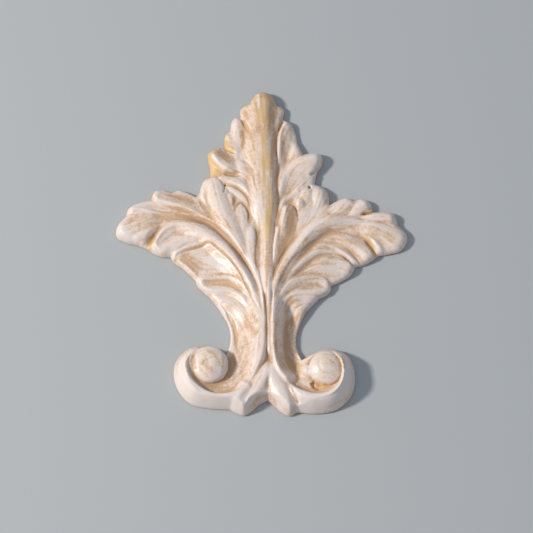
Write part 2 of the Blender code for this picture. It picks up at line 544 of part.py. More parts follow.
def carved_face(ring):
    """Grid cut to the outline and raised to the relief, as a mesh in drawing units."""
    low, high = ring.min(0), ring.max(0)
    cell = CELL / UNIT
    nx, ny = [int(np.ceil(side / cell)) + 2 for side in high - low]
    bm = bmesh.new()
    middle = (low + high) / 2
    fit = Matrix.Translation((*middle, 0)) @ Matrix.Diagonal((nx * cell, ny * cell, 1, 1))
    bmesh.ops.create_grid(bm, x_segments=nx, y_segments=ny, size=0.5, matrix=fit)
    co = np.array([v.co[:2] for v in bm.verts])
    keep = inside(co[:, 0], co[:, 1], ring)
    bmesh.ops.delete(bm, geom=[v for v, k in zip(bm.verts, keep) if not k], context="VERTS")
    bmesh.ops.delete(bm, geom=[v for v in bm.verts if not v.link_faces], context="VERTS")

    closed = np.vstack([ring, ring[:1]])
    co = np.array([v.co[:2] for v in bm.verts])
    place, edge, sine, along = nearest_on_line(co[:, 0], co[:, 1], closed)
    for v, px, py in zip(bm.verts, *place):
        if v.is_boundary:
            v.co[:2] = px, py
    bmesh.ops.remove_doubles(bm, verts=bm.verts[:], dist=SAME_POINT)
    co = np.array([v.co[:2] for v in bm.verts])
    place, edge, sine, along = nearest_on_line(co[:, 0], co[:, 1], closed)
    edge[[v.is_boundary for v in bm.verts]] = 0
    for v, z in zip(bm.verts, relief(co[:, 0], co[:, 1], edge)):
        v.co.z = z
    bmesh.ops.triangulate(bm, faces=bm.faces[:])
    mesh = bpy.data.meshes.new("carved face")
    bm.to_mesh(mesh)
    bm.free()
    return mesh


def thinned(mesh, triangles):
    """The same face with this many triangles, most of them left where it bends."""
    worker = bpy.data.objects.new("worker", mesh)
    bpy.context.scene.collection.objects.link(worker)
    modifier = worker.modifiers.new("fewer", "DECIMATE")
    modifier.ratio = triangles / len(mesh.polygons)
    bpy.context.view_layer.update()
    seen = worker.evaluated_get(bpy.context.evaluated_depsgraph_get())
    result = bpy.data.meshes.new_from_object(seen)
    bpy.data.objects.remove(worker)
    return result


def closed_body(mesh, ring):
    """Upright edge and flat back added, in metres with the middle of the back on the origin."""
    bm = bmesh.new()
    bm.from_mesh(mesh)
    rim = [e for e in bm.edges if e.is_boundary]
    made = bmesh.ops.extrude_edge_only(bm, edges=rim)["geom"]
    for v in made:
        if isinstance(v, bmesh.types.BMVert):
            v.co.z = 0
    foot = [e for e in made if isinstance(e, bmesh.types.BMEdge)]
    bmesh.ops.contextual_create(bm, geom=foot)
    bmesh.ops.recalc_face_normals(bm, faces=bm.faces[:])
    bmesh.ops.triangulate(bm, faces=bm.faces[:])
    for e in foot:
        e.smooth = False
    for f in bm.faces:
        f.smooth = True
    middle = (ring.min(0) + ring.max(0)) / 2
    to_middle = Matrix.Translation((*-middle, 0))
    bmesh.ops.transform(bm, verts=bm.verts[:], matrix=Matrix.Scale(UNIT, 4) @ to_middle)
    bm.to_mesh(mesh)
    bm.free()


for old in list(bpy.data.objects):
    bpy.data.objects.remove(old)

collection = bpy.data.collections.new(NAME)
bpy.context.scene.collection.children.link(collection)

ring = outline_ring()
mesh = thinned(carved_face(ring), TRIANGLES)
closed_body(mesh, ring)
mesh.name = "moulding"
moulding = bpy.data.objects.new("moulding", mesh)
collection.objects.link(moulding)

paint = bpy.data.materials.new("whitewash")
paint.use_nodes = True
shader = paint.node_tree.nodes["Principled BSDF"]
shader.inputs["Base Color"].default_value = PAINT_COLOUR
shader.inputs["Roughness"].default_value = PAINT_ROUGHNESS
shader.inputs["Metallic"].default_value = 0.0
mesh.materials.clear()
mesh.materials.append(paint)
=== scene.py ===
import math

import bmesh
import bpy
import numpy as np
from mathutils import Matrix, Vector


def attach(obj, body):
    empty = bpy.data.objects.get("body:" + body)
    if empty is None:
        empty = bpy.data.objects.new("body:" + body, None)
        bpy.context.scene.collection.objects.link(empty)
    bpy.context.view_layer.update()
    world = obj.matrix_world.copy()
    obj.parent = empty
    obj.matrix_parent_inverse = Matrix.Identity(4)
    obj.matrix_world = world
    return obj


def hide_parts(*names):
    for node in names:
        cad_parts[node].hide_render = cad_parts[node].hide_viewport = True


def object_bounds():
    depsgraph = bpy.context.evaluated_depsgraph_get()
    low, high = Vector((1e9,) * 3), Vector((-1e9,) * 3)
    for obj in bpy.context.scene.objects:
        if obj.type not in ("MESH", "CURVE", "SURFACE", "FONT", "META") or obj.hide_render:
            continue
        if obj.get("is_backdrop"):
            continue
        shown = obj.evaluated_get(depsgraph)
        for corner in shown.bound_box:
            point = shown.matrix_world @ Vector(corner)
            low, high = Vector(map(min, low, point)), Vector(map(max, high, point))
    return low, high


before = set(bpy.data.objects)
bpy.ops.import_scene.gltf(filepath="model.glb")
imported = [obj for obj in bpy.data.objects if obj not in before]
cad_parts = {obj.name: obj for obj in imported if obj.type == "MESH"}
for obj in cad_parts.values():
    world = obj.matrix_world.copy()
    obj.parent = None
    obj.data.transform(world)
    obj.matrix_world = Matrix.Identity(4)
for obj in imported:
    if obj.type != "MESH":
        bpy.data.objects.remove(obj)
cad_low, cad_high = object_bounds()

# The moulding
# A single casting of cream-yellow flexible resin, poured face down in an open mould, so its back is flat and
# plain. The face is three acanthus leaves over two scrolls. Its sizes are in the drawing's own millimetres.
DRAWN_LENGTH = 108.3
UNIT = (cad_high.y - cad_low.y) / DRAWN_LENGTH
CELL = 0.25
WELD = CELL / 10
TINY = 1e-9

# how the face meets the outline: a small chamfer at the back, an upright edge, then a round shoulder
CHAMFER = 0.15
EDGE_HEIGHT = 1.0
EDGE_ROLL = 2.2
THINNEST = 1.4

# the scrolls below this line have a flared outer wall instead
VOLUTE_LINE = -31.0
VOLUTE_BLEND = 5.0
VOLUTE_EDGE = 0.8
VOLUTE_WALL = 3.1
VOLUTE_RIM = 6.1
VOLUTE_CURVE = 1.5
ABOVE_RIM = 2.0

# softness of the shoulders of a ridge, of the creases where ridges meet, and of the ground
SHOULDER = 1.7
CREASE = 5.0
NARROWEST = 0.3
GROUND_SOFTNESS = 6.0
GROUND_SLACK = 0.5

# points on each curve between two drawn points
OUTLINE_STEPS = 8
SPINE_STEPS = 8

# Outline, anticlockwise from the tip. Each lobe is one smooth curve that ends where the next lobe starts.
OUTLINE = [
    ("tip", [(4.9, 49.7), (2.8, 53.5), (0.4, 54.2), (-2, 53.4)]),
    ("left shoulder", [(-4, 50), (-6.2, 48.9), (-6.9, 47.5)]),
    ("left ear", [(-6.5, 45.5), (-8.2, 45.4), (-9.5, 44.1)]),
    ("left ear lower", [(-10, 40.6), (-11.4, 39.3), (-11.8, 37.3)]),
    ("left nose", [(-11.7, 34.6), (-14.4, 34.7), (-16.7, 33), (-17, 30.8), (-16.3, 27.7)]),
    ("left skirt", [(-16.1, 24.7), (-18, 23.6), (-19, 21.5), (-19.6, 19.1)]),
    ("left first scallop", [(-20.5, 17.9), (-23.4, 19.4), (-25.9, 20.1)]),
    ("left second scallop", [(-28, 19.3), (-30.9, 20.2), (-33.6, 19.7)]),
    ("left third scallop", [(-34.7, 16.7), (-38.7, 15.7), (-41.6, 13.9)]),
    ("left leaf tip", [(-42.4, 11.1), (-45, 7.8), (-45.1, 4.4), (-42.2, 2.5), (-38.8, 1.6)]),
    ("left fourth scallop", [(-35.9, 0.5), (-33.8, -1), (-31.2, -2.2)]),
    ("left fifth scallop", [(-28.2, -2.4), (-27, -4.5), (-24, -6.6)]),
    ("left sixth scallop", [(-20.4, -10.3), (-19.6, -12.4), (-17.9, -14.2)]),
    ("left waist", [(-15.9, -15.9), (-12.6, -20.6), (-10, -25.7), (-9.5, -30.5)]),
    ("left volute", [
        (-10.9, -35.1), (-13.9, -32.6), (-17.8, -32), (-23.3, -33.6), (-26.5, -38.1), (-25.9, -44.7),
        (-21.9, -50), (-16.2, -51.7)
    ]),
    ("left foot", [(-9.5, -52.1), (-7.4, -53.3), (-5.3, -54), (-3.1, -52.8), (-0.7, -50.6)]),
    ("right foot", [(2, -49.2), (4.4, -51.4), (6.5, -53.3), (8.7, -54.1)]),
    ("right volute", [
        (10.9, -52.9), (16.5, -53.4), (22.6, -52.2), (27, -48.2), (28.5, -42.4), (27.2, -36), (23.4, -33.3),
        (19.1, -33), (15.4, -34.4)
    ]),
    ("right waist", [(12.4, -36.2), (10.7, -32.2), (11, -27.2), (13.6, -21.1)]),
    ("right sixth scallop", [(17.7, -16.3), (20.2, -15), (21.4, -13.4)]),
    ("right fifth scallop", [(21.5, -12), (24.6, -10.5), (27.6, -8.5)]),
    ("right fourth scallop", [(29.1, -5.7), (31.8, -5), (34.3, -3.6)]),
    ("right leaf tip", [(36.2, -2), (39.3, -1.4), (43.1, -0.3), (45.2, 2.5), (45.1, 5.2)]),
    ("right third scallop", [(42.6, 8.1), (41.7, 11.6), (38.9, 12.8)]),
    ("right second scallop", [(34.9, 12.6), (34, 15.8), (31.6, 17.1)]),
    ("right first scallop", [(28.7, 16.7), (26.6, 17.5), (24, 16.7)]),
    ("right skirt", [(21.3, 15.1), (20.8, 19.2), (19, 21.2)]),
    ("right nose", [(16.7, 22.1), (17.4, 25.9), (19.3, 29.6), (18.5, 32.5), (15.6, 32.9)]),
    ("right ear", [(13.1, 32.5), (11.4, 36.4), (10.7, 39.8), (9.2, 43.3)]),
    ("right shoulder", [(6.7, 44.8), (7.2, 47.7), (6.3, 49.1)]),
]

# Ground under the carving: x, y and height
LEVELS = [
    (0.5, 52, 2.4), (0.5, 46, 3.1), (-5, 46.5, 2.3), (6.3, 46.5, 2), (-8.5, 42, 2.2), (8.5, 41, 1.8),
    (-10, 37, 2), (9.5, 36, 1.7), (-4, 38, 3.1), (4.4, 38, 2.9), (-5, 32, 3.2), (4.5, 30, 3),
    (-3, 24, 3.5), (4.6, 22, 3.2), (-3.2, 14, 3.6), (4.5, 14, 3.4), (-1.5, 2, 4.1), (3, 3, 4.1),
    (0.5, -8, 4.7), (3, -8, 4.6), (1.5, -18, 5), (2, -28, 4.7), (2, -36, 4.7), (-15, 31, 3.2),
    (-12, 29, 3.2), (-15, 26, 2), (16, 30, 2.9), (13, 29, 3), (15.5, 25, 2.4), (10.5, 24, 2.3),
    (8, 33, 2.1), (-9, 34, 2.2), (-16, 21, 3), (-13, 16, 3.4), (-9, 8, 4), (-5, 0, 4.5), (17.5, 17, 2.8),
    (14, 16, 3.2), (15, 12, 3.2), (8, 10, 3.4), (6, 0, 3.9), (12, 11, 3.4), (-22, 17, 2.5),
    (-30, 18, 2.5), (-38, 13, 2.9), (-43, 7, 3.1), (-40, 3.5, 3.1), (-34, 9, 3.2), (-27, 11, 3.2),
    (-20, 8, 3.4), (-14, 2.5, 4), (-9, -3, 4.5), (-5, -10, 4.8), (-30, 1, 2.8), (-24, -1, 3),
    (-24, -5, 2.5), (-18, -4, 2.8), (-12, -7, 3.2), (-8, -12, 3.6), (-17, -12, 2.5), (-13, -15, 2.7),
    (-8, -19, 3.2), (-10.5, -26, 2), (-9.5, -32, 2.2), (-7.5, -28, 2.5), (-7.6, -34, 2.7), (-3, -28, 4.2),
    (-3, -36, 4.2), (-1, -22, 4.6), (24, 15, 2.2), (32, 14.5, 2.2), (39, 10, 2.4), (43, 4, 2.2),
    (41, 0, 2.1), (34, -3, 2.2), (28, -5.5, 2.2), (24, -9, 2.1), (35, 5, 2.8), (28, 4, 2.9), (22, 3, 3.2),
    (16, -3, 3.5), (22, 8.5, 3.5), (14, 2, 4), (9, -5, 4.5), (6, -12, 4.8), (18, -13, 2.6),
    (13, -12, 3.1), (9, -18, 3.3), (14, -19, 3), (11.5, -27, 2.8), (11, -33, 2.9), (8, -30, 2.5),
    (8.2, -38, 2.7), (5, -28, 3.6), (5.4, -20, 3.8), (-5, -43, 3.8), (-10, -46, 3.8), (-17, -45.5, 4.2),
    (-21.5, -41, 6.3), (-15, -39, 4.4), (-9, -39, 3), (-18, -33.5, 4.6), (7, -42, 3.4), (12, -44, 2.9),
    (17, -46, 3.2), (24, -43, 4.6), (20, -40, 4.4), (13, -39, 3.2), (20, -34.5, 4.5), (-7, -49.6, 4.5),
    (-2, -47, 4.9), (-4.5, -50.5, 4.7), (2, -48, 4), (6, -48, 4.7), (8, -51.5, 4.1), (2, -42, 4.4),
    (-20.5, -36, 6), (24, -37.5, 4.8),
]

# Ridges: half width left and right of the line, rise, the part of the line that the root and the tip take
# to rise and fall, roundness of the profile, and the line from root to tip
RIDGES = [
    ("midrib", 6.8, 3.9, 2.1, 0.35, 0, 2.8, [
        (2, 0), (1.8, 12), (1.5, 22), (1.1, 32), (0.7, 40), (0.4, 50)
    ]),
    ("midrib root", 2.8, 2.2, 1.2, 0.2, 0.3, 2.4, [
        (2.2, -22), (2.2, -10), (2.2, 0), (2, 10), (1.8, 18)
    ]),
    ("tip", 6.6, 6.4, 1.2, 0.5, 0, 2.2, [
        (0.6, 32), (0.4, 42), (0.4, 50)
    ]),
    ("left shoulder", 2.4, 2.6, 0.5, 0.5, 0, 2, [
        (-1.6, 37), (-3.6, 43), (-5.4, 46.6)
    ]),
    ("right shoulder", 3, 2.8, 0.5, 0.5, 0, 2, [
        (2.5, 38), (4.6, 43), (5.9, 46.6)
    ]),
    ("left ear", 2.8, 3, 0.7, 0.6, 0, 2.2, [
        (-7.2, 32), (-7.6, 37), (-8.2, 42.3)
    ]),
    ("left ear lower", 2.6, 3, 0.6, 0.7, 0, 2.2, [
        (-7.6, 29), (-8.8, 33.4), (-9.9, 36.8)
    ]),
    ("right ear rim", 1.2, 4.4, 1, 0.5, 0, 1.7, [
        (5.4, 27), (5.6, 34.5), (6.4, 39.8), (7.6, 42.4)
    ]),
    ("right ear lower", 2.6, 2.6, 0.5, 0.6, 0, 2, [
        (8.2, 28), (9.8, 31.8), (11.2, 34.6)
    ]),
    ("left nose", 1.5, 5, 1.6, 0.5, 0, 1.2, [
        (-5.6, 25.4), (-9.4, 25.9), (-12, 27.2), (-13.9, 28.9), (-15.4, 31.2)
    ]),
    ("left nose back", 4, 1.6, 0.6, 0.5, 0.4, 2.2, [
        (-2.8, 19), (-4.2, 24.4), (-6, 27.8), (-9, 30.6)
    ]),
    ("left lobe four", 2, 2.4, 0.8, 0.5, 0, 1.6, [
        (-2.9, 13), (-4.3, 18.6), (-6.8, 21.4), (-10, 22.6), (-13.2, 23.5)
    ]),
    ("left lobe four rib", 1.4, 1.5, 0.4, 0.5, 0, 1.8, [
        (-3.3, 10.5), (-4.6, 14.8), (-6.7, 17.7), (-10, 19.8)
    ]),
    ("left small bead", 2.2, 1.4, 0.6, 0.8, 0, 2.2, [
        (-8.4, 9.5), (-9.2, 13.2), (-9.7, 17)
    ]),
    ("left bead lobe", 4.4, 2.8, 0.6, 0.8, 0, 2.6, [
        (-3.8, -1), (-5.4, 5.5), (-6.2, 11.8)
    ]),
    ("left long lobe", 3, 2.2, 0.75, 0.7, 0, 2.2, [
        (-1, -13), (-2.5, -5), (-2.9, 0.6), (-3, 4.6)
    ]),
    ("left skirt ridge", 4, 4.6, 1.4, 0.65, 0, 2.2, [
        (-2, -11), (-5.4, -3), (-8.8, 4), (-11.8, 10.6), (-13.8, 16.4), (-15, 21.2)
    ]),
    ("left skirt rim", 1.6, 1.8, 0.5, 0.6, 0, 1.6, [
        (-16.4, 12.6), (-17.4, 15.4), (-18, 18.4), (-17.4, 21.4)
    ]),
    ("right nose", 3, 7.4, 1.5, 0.4, 0, 1.7, [
        (5.4, 15), (7.2, 22.6), (10.4, 28), (16.2, 30.2)
    ]),
    ("right nose lower", 3.6, 3, 0.6, 0.4, 0, 2, [
        (8, 16), (11.2, 22), (14.6, 26.4)
    ]),
    ("right lobe four", 1.5, 1.8, 0.6, 0.5, 0.1, 1.6, [
        (5.2, 9.5), (6.4, 14.2), (8.8, 17.6), (12.4, 20)
    ]),
    ("right button", 2.2, 2, 1.1, 0.8, 0, 2.2, [
        (11.6, 12.4), (11.9, 13.8), (12.1, 15)
    ]),
    ("right bead lobe", 1.4, 4.4, 1.5, 0.6, 0, 1.5, [
        (5.2, -1), (6.2, 5), (6.7, 9), (7.6, 12.4)
    ]),
    ("right long lobe", 1.1, 4, 1.3, 0.7, 0, 1.4, [
        (2.9, -13), (3.8, -5), (4.3, 0.8), (5, 5.2)
    ]),
    ("right skirt inner", 2.6, 2.4, 0.7, 0.9, 0, 2.4, [
        (13, 13.4), (13.6, 15.6), (14.2, 18)
    ]),
    ("right skirt outer", 2.8, 3.2, 1, 0.9, 0, 2.6, [
        (16.6, 12.8), (17.6, 15.4), (18.2, 17.8)
    ]),
    ("left leaf upper ridge", 1.2, 4.2, 1, 0.5, 0, 1.2, [
        (-16.4, 8.8), (-22.1, 12.5), (-28.3, 14.6), (-32, 15.8), (-33.6, 17.2)
    ]),
    ("left leaf main rib", 4.4, 3, 1.4, 0.15, 0.3, 2, [
        (0.2, -20), (-3, -12.8), (-6.4, -7.6), (-9.4, -3.4), (-13, 0.4), (-16.6, 3.6), (-20.8, 6.2),
        (-26, 7.6), (-33, 8.4)
    ]),
    ("left tip pad", 5.4, 5.6, 1, 0.6, 0, 2, [
        (-30, 9.5), (-36, 8.4), (-41.8, 6.2)
    ]),
    ("left tip upper pad", 2.6, 2.2, 0.5, 0.6, 0, 2, [
        (-31, 11.5), (-36, 12.6), (-40, 12.8)
    ]),
    ("left tip lower pad", 1.8, 2.4, 0.6, 0.5, 0, 2, [
        (-31, 8), (-35.4, 5), (-38.8, 3)
    ]),
    ("left lobe b rim", 3.6, 1.2, 0.9, 0.4, 0, 1.2, [
        (-22, 8), (-26.4, 7.6), (-30, 5.9), (-32.2, 3), (-32.8, 0.6), (-31, -1.6)
    ]),
    ("left lobe b pad", 2.2, 3.2, 0.7, 0.4, 0, 1.8, [
        (-14, 5.4), (-20, 3), (-25, 1.6), (-29, 0), (-30.4, -1.6)
    ]),
    ("left lobe c rim", 1.1, 1.3, 0.65, 0.3, 0, 1.5, [
        (-5.5, -7), (-9.5, -2.6), (-13, 0.6), (-16.2, 2), (-18.2, 1.1), (-21, 0.4), (-24, -0.4),
        (-26.4, -1.8), (-27.6, -3.6)
    ]),
    ("left lobe c swell", 3.4, 3.4, 0.5, 0.3, 0.3, 2, [
        (-2.4, -17), (-5.6, -11.6), (-9.6, -7.6), (-14.6, -5.8)
    ]),
    ("left lobe c edge", 2.4, 1.4, 0.6, 0.2, 0.3, 1.5, [
        (-19.6, -10.6), (-21.4, -8.4), (-24, -6), (-26.2, -3.6)
    ]),
    ("left lobe d upper rib", 1.5, 1.3, 0.6, 0.3, 0, 1.5, [
        (-1.6, -21), (-4.6, -14.6), (-8, -10.8), (-12, -9.5), (-16, -9.6), (-19, -11)
    ]),
    ("left lobe d lower rib", 1.7, 1.9, 0.6, 0.3, 0, 1.6, [
        (-2.6, -23), (-5.8, -17.4), (-9.6, -14.9), (-14, -14.4), (-17.6, -13.6), (-19, -11.8)
    ]),
    ("left lobe e rib", 2.4, 2.2, 0.4, 0.4, 0, 2, [
        (-3.6, -28), (-6, -22), (-9.6, -18.4), (-14.2, -16.7)
    ]),
    ("left waist bead", 1.1, 1.5, 0.8, 0.1, 0.2, 1.6, [
        (-14, -18), (-11.4, -22), (-10.1, -26), (-9.5, -31), (-9.8, -35)
    ]),
    ("right leaf upper ridge", 3, 3.4, 1.5, 0.15, 0.3, 1.9, [
        (3, -20), (4.3, -14.4), (5.8, -10), (8.1, -5.6), (10.8, -1.2), (13.6, 2.6), (16.6, 5.9), (20, 8),
        (24.4, 9), (29.6, 8.8), (36, 7)
    ]),
    ("right leaf second ridge", 1.5, 2, 0.55, 0.2, 0.25, 1.4, [
        (4.6, -19), (8.2, -10.6), (11.1, -6.7), (14, -3.8), (17.4, -1.6), (21.6, -0.6)
    ]),
    ("right lobe d rim", 1.4, 2.8, 0.6, 0.3, 0, 1.3, [
        (3.8, -22), (5.5, -16.6), (7.4, -13.6), (10.1, -11.4), (12.9, -10.5), (15.7, -10.1), (18.8, -10.3),
        (20.6, -11.8)
    ]),
    ("right lobe d lower rib", 1.3, 2.8, 0.5, 0.4, 0, 1.6, [
        (5.2, -23), (7.4, -17.6), (10.4, -15.7), (14.7, -15), (19, -15)
    ]),
    ("right lobe c pad", 4, 3.4, 1, 0.5, 0, 2.2, [
        (13, -9), (18, -6.8), (24, -6.2), (27, -7)
    ]),
    ("right lobe c bead", 1.2, 1.2, 0.8, 0.6, 0, 1.8, [
        (19, 1), (22.8, -0.2), (26.4, -2.4), (29.2, -5), (30.6, -6.6)
    ]),
    ("right lobe b pad", 3, 2.6, 1, 0.5, 0, 2.2, [
        (20, 3.8), (26.6, 2), (31, -0.6), (33.4, -3.2)
    ]),
    ("right lobe b bead", 1.8, 1.3, 0.8, 0.6, 0, 1.8, [
        (29, 5), (33.6, 3.4), (36.2, 0.4), (37.2, -1.8)
    ]),
    ("right first pad", 3.4, 3, 0.8, 0.8, 0, 2.4, [
        (20, 8.6), (24.4, 12.6), (26.8, 15.4)
    ]),
    ("right second pad", 2.4, 2.4, 1, 0.8, 0, 2.4, [
        (26, 9.6), (29.8, 12.8), (32, 14.6)
    ]),
    ("right third pad", 2.4, 2.6, 0.9, 0.7, 0, 2.4, [
        (30, 9), (35.6, 10.4), (39.6, 10.2)
    ]),
    ("right tip pad", 4.6, 4.6, 1, 0.5, 0, 2.2, [
        (28, 7.6), (36, 5.8), (42, 3)
    ]),
    ("stem bead", 1.7, 1.5, 1.4, 0.1, 0.5, 2.2, [
        (2.9, -38), (2.6, -34), (2.4, -28), (2.3, -20), (2.2, -10), (2, 4)
    ]),
    ("left stem rim", 1.7, 6.6, 1.7, 0.4, 0.28, 1.8, [
        (-2.4, -4), (-0.8, -11), (0.2, -18), (0.7, -24), (0.8, -30), (0.3, -35), (-0.9, -39.2), (-3.2, -43.6),
        (-6, -47)
    ]),
    ("left volute rim", 3.6, 1, 1.7, 0.2, 0.5, 2.6, [
        (-2.6, -43), (-4.8, -46.2), (-8.4, -48.4), (-13.5, -48.9), (-18, -47.3), (-21.6, -43.9),
        (-22.7, -39.8), (-21.6, -36), (-18.4, -34.2)
    ]),
    ("right stem rim", 5, 1.3, 2.3, 0.4, 0.1, 1.5, [
        (4.6, -8), (3.9, -16), (3.6, -22), (3.5, -30), (3.9, -36.5), (5.2, -40.6), (7.4, -43.8), (9.6, -46.6)
    ]),
    ("right volute rim", 2, 3.6, 3, 0.3, 0.2, 2.4, [
        (6, -42), (8.2, -45), (11.4, -47.7), (15.6, -49.3), (20.4, -49), (24, -46.4), (25.7, -42.5),
        (25.3, -38.2), (22.8, -35.8), (19.6, -35)
    ]),
    ("right bridge", 2.8, 2.4, 1.4, 0.4, 0, 2.2, [
        (11.6, -38.4), (14.4, -40.8), (18, -41.4)
    ]),
    ("left foot outer", 3.6, 3, 1.3, 0.3, 0, 2, [
        (-3, -43.8), (-5.6, -47.4), (-7.4, -50.6)
    ]),
    ("left foot inner", 2.8, 3.8, 1, 0.3, 0, 2, [
        (2.6, -37), (1.4, -42), (-0.8, -46.2), (-3, -50.2)
    ]),
    ("right foot", 3.6, 3.4, 1.3, 0.3, 0, 2.4, [
        (3, -37), (4.2, -42.4), (6, -46.8), (7.2, -50.6)
    ]),
]

# Cuts between the ridges, in the same order: half widths, depth, root, tip and line
CUTS = [
    ("left ear cut", 0.8, 0.8, 0.6, 0.4, 0, [
        (-4, 38), (-4.8, 41), (-6.9, 45.2)
    ]),
    ("right ear cut", 0.8, 0.8, 0.7, 0.4, 0, [
        (4.9, 38.6), (5.6, 41), (6.8, 44.6)
    ]),
    ("left nose cut", 0.7, 0.7, 0.6, 0.4, 0, [
        (-7.5, 31.8), (-9.2, 32.6), (-11.8, 34.4)
    ]),
    ("left crease", 0.5, 0.5, 0.3, 0.3, 0.3, [
        (-1.9, 18), (-2.3, 23), (-3.2, 26.4), (-5, 29), (-7.4, 30.9)
    ]),
    ("left nose hollow", 0.9, 1, 0.45, 0.4, 0.2, [
        (-6, 24.3), (-9, 24.4), (-12, 25.2)
    ]),
    ("left slot", 0.5, 0.5, 0.5, 0.3, 0.2, [
        (-11.9, 17.6), (-11.6, 19.5), (-11.6, 21)
    ]),
    ("left skirt slot", 0.5, 0.5, 0.3, 0.3, 0.1, [
        (-11.7, 20), (-12.4, 22), (-14.2, 24)
    ]),
    ("left lobe four crease", 0.5, 0.6, 0.25, 0.3, 0.3, [
        (-3.4, 12), (-4.4, 16.4), (-6.6, 19.2), (-10, 21.2)
    ]),
    ("left bead crease", 0.6, 0.7, 0.35, 0.3, 0.2, [
        (-8.7, 11), (-7.9, 13.4), (-6.2, 14.7), (-4.7, 13), (-3.9, 10.4), (-4.3, 7.2)
    ]),
    ("left long crease", 0.6, 0.7, 0.25, 0.15, 0.4, [
        (-3.4, 6.9), (-2.2, 6.2), (-1.4, 3.6), (-1.4, 1), (-1.7, -3), (-1.2, -9)
    ]),
    ("left main groove", 2.2, 1, 1.1, 0.2, 0.3, [
        (0.8, -24), (-0.8, -15), (-2.6, -10.2), (-4.8, -5.9), (-7.2, -1.7), (-9.6, 1.9), (-12.2, 4.7),
        (-14.8, 7), (-17.6, 8.9), (-21.4, 10.2), (-26, 11), (-31, 11)
    ]),
    ("left thin groove", 0.45, 0.45, 0.4, 0.2, 0.1, [
        (0.6, -24), (-1.8, -19.6), (-4.1, -14.7), (-5.8, -10.7), (-7.6, -7.6), (-9.8, -4.5), (-12.4, -2),
        (-15.1, 0.5), (-16.7, 1.5)
    ]),
    ("left tip notch", 1, 2.4, 1.5, 0.5, 0, [
        (-29.6, 7.2), (-32.2, 5.4), (-34.2, 2.4), (-36, -0.8)
    ]),
    ("left lobe b hollow", 1.6, 1.6, 0.2, 0.5, 0.5, [
        (-20, 5), (-24, 4.6), (-27, 4.4), (-29.6, 3)
    ]),
    ("left lobe b cut", 0.5, 0.5, 0.35, 0.3, 0, [
        (-19.6, 1.7), (-23, 1), (-25.4, -0.5), (-27.6, -2.2), (-29.6, -3.6)
    ]),
    ("left lobe c crease", 0.4, 0.4, 0.2, 0.2, 0.2, [
        (-16.4, 1), (-17.6, 0.2), (-20, -0.4), (-23, -0.9), (-25.4, -2.4)
    ]),
    ("left waist groove", 1, 1.1, 0.5, 0.2, 0.3, [
        (-11, -20.5), (-8.8, -25), (-7.7, -29.5), (-7.6, -34)
    ]),
    ("left stem groove", 0.4, 0.4, 0.12, 0.2, 0.2, [
        (0.2, -12), (1.1, -19), (1.6, -25), (1.8, -31), (1.5, -35.6), (0.5, -39)
    ]),
    ("right channel", 6, 4.4, 2, 0.4, 0.3, [
        (7.6, -14), (8.4, -20), (8.5, -27), (8.5, -33), (9.3, -38), (10.8, -42), (13, -44.6)
    ]),
    ("right leaf groove", 1.6, 2.2, 0.4, 0.2, 0.3, [
        (3.4, -20), (5.8, -13.2), (8.8, -7), (12.4, -2.6), (17, 1.6), (22, 5), (28, 6.2)
    ]),
    ("right groove above", 0.7, 0.7, 0.3, 0.2, 0.4, [
        (3.2, -15), (4.2, -9.6), (6.6, -3.4), (9.6, 1.6), (13.4, 6.4)
    ]),
    ("right second hollow", 1, 1, 0.25, 0.3, 0.3, [
        (9, -10.8), (12.5, -8), (17, -5.2), (21, -3.6)
    ]),
    ("right lobe c cut", 0.5, 0.5, 0.7, 0.3, 0, [
        (24.4, -2.2), (26.6, -4), (28.4, -5.9), (29.6, -7.6)
    ]),
    ("right lobe b hollow", 0.5, 0.5, 0.25, 0.3, 0, [
        (26, 0.2), (28.6, -2.4), (30.4, -4.6), (31.4, -6)
    ]),
    ("right lobe b cut", 0.9, 1.3, 0.9, 0.3, 0, [
        (31.6, 3.2), (33.4, 1.4), (34.8, -1), (35.9, -3.6)
    ]),
    ("right third crease", 0.5, 0.5, 0.3, 0.2, 0.2, [
        (29, 10), (34, 9.4), (38.6, 8.1), (42.4, 6.2)
    ]),
    ("right upper slot", 0.7, 0.6, 1.2, 0.4, 0, [
        (30.6, 11.3), (32.4, 11.6), (34.6, 12)
    ]),
    ("right nose notch", 0.7, 0.9, 0.9, 0.4, 0, [
        (14.6, 24.6), (16, 25.2), (18, 26.4)
    ]),
    ("right bead crease", 0.6, 0.6, 0.4, 0.2, 0.4, [
        (8, 14.6), (9.8, 14.2), (10.9, 12.6), (11.2, 10.6), (11.9, 8.4)
    ]),
    ("right pit", 1.5, 1.5, 1.3, 0.12, 0.3, [
        (15.7, -43.8), (16.3, -45.4), (18.6, -46.3)
    ]),
    ("foot valley", 0.8, 0.8, 0.2, 0.3, 0.2, [
        (2.2, -42.5), (1.8, -46), (1.9, -49)
    ]),
    ("right foot cut", 0.6, 0.6, 0.6, 0.3, 0.1, [
        (9, -46), (10.2, -48.4), (11.4, -51.4)
    ]),
    ("left upper crease", 0.5, 0.6, 0.25, 0.2, 0.3, [
        (-17.6, 8.6), (-20.8, 10.6), (-24, 12.2), (-28, 13.4), (-32.6, 14.6)
    ]),
]

# balls in the eyes of the scrolls: centre, radius, foot and top
BALLS = [
    ("left", (-15.8, -39.1), 5.8, 4.8, 7.5),
    ("right", (19.8, -40.0), 5.4, 4.4, 7.2),
]
BALL_ROUND = 0.58

# air bubbles that broke open in the casting: place, radius and depth
PITS = [
    ((15.1, 20.7), 0.75, 1.5),
    ((-11.4, 20.9), 0.6, 1.1),
]

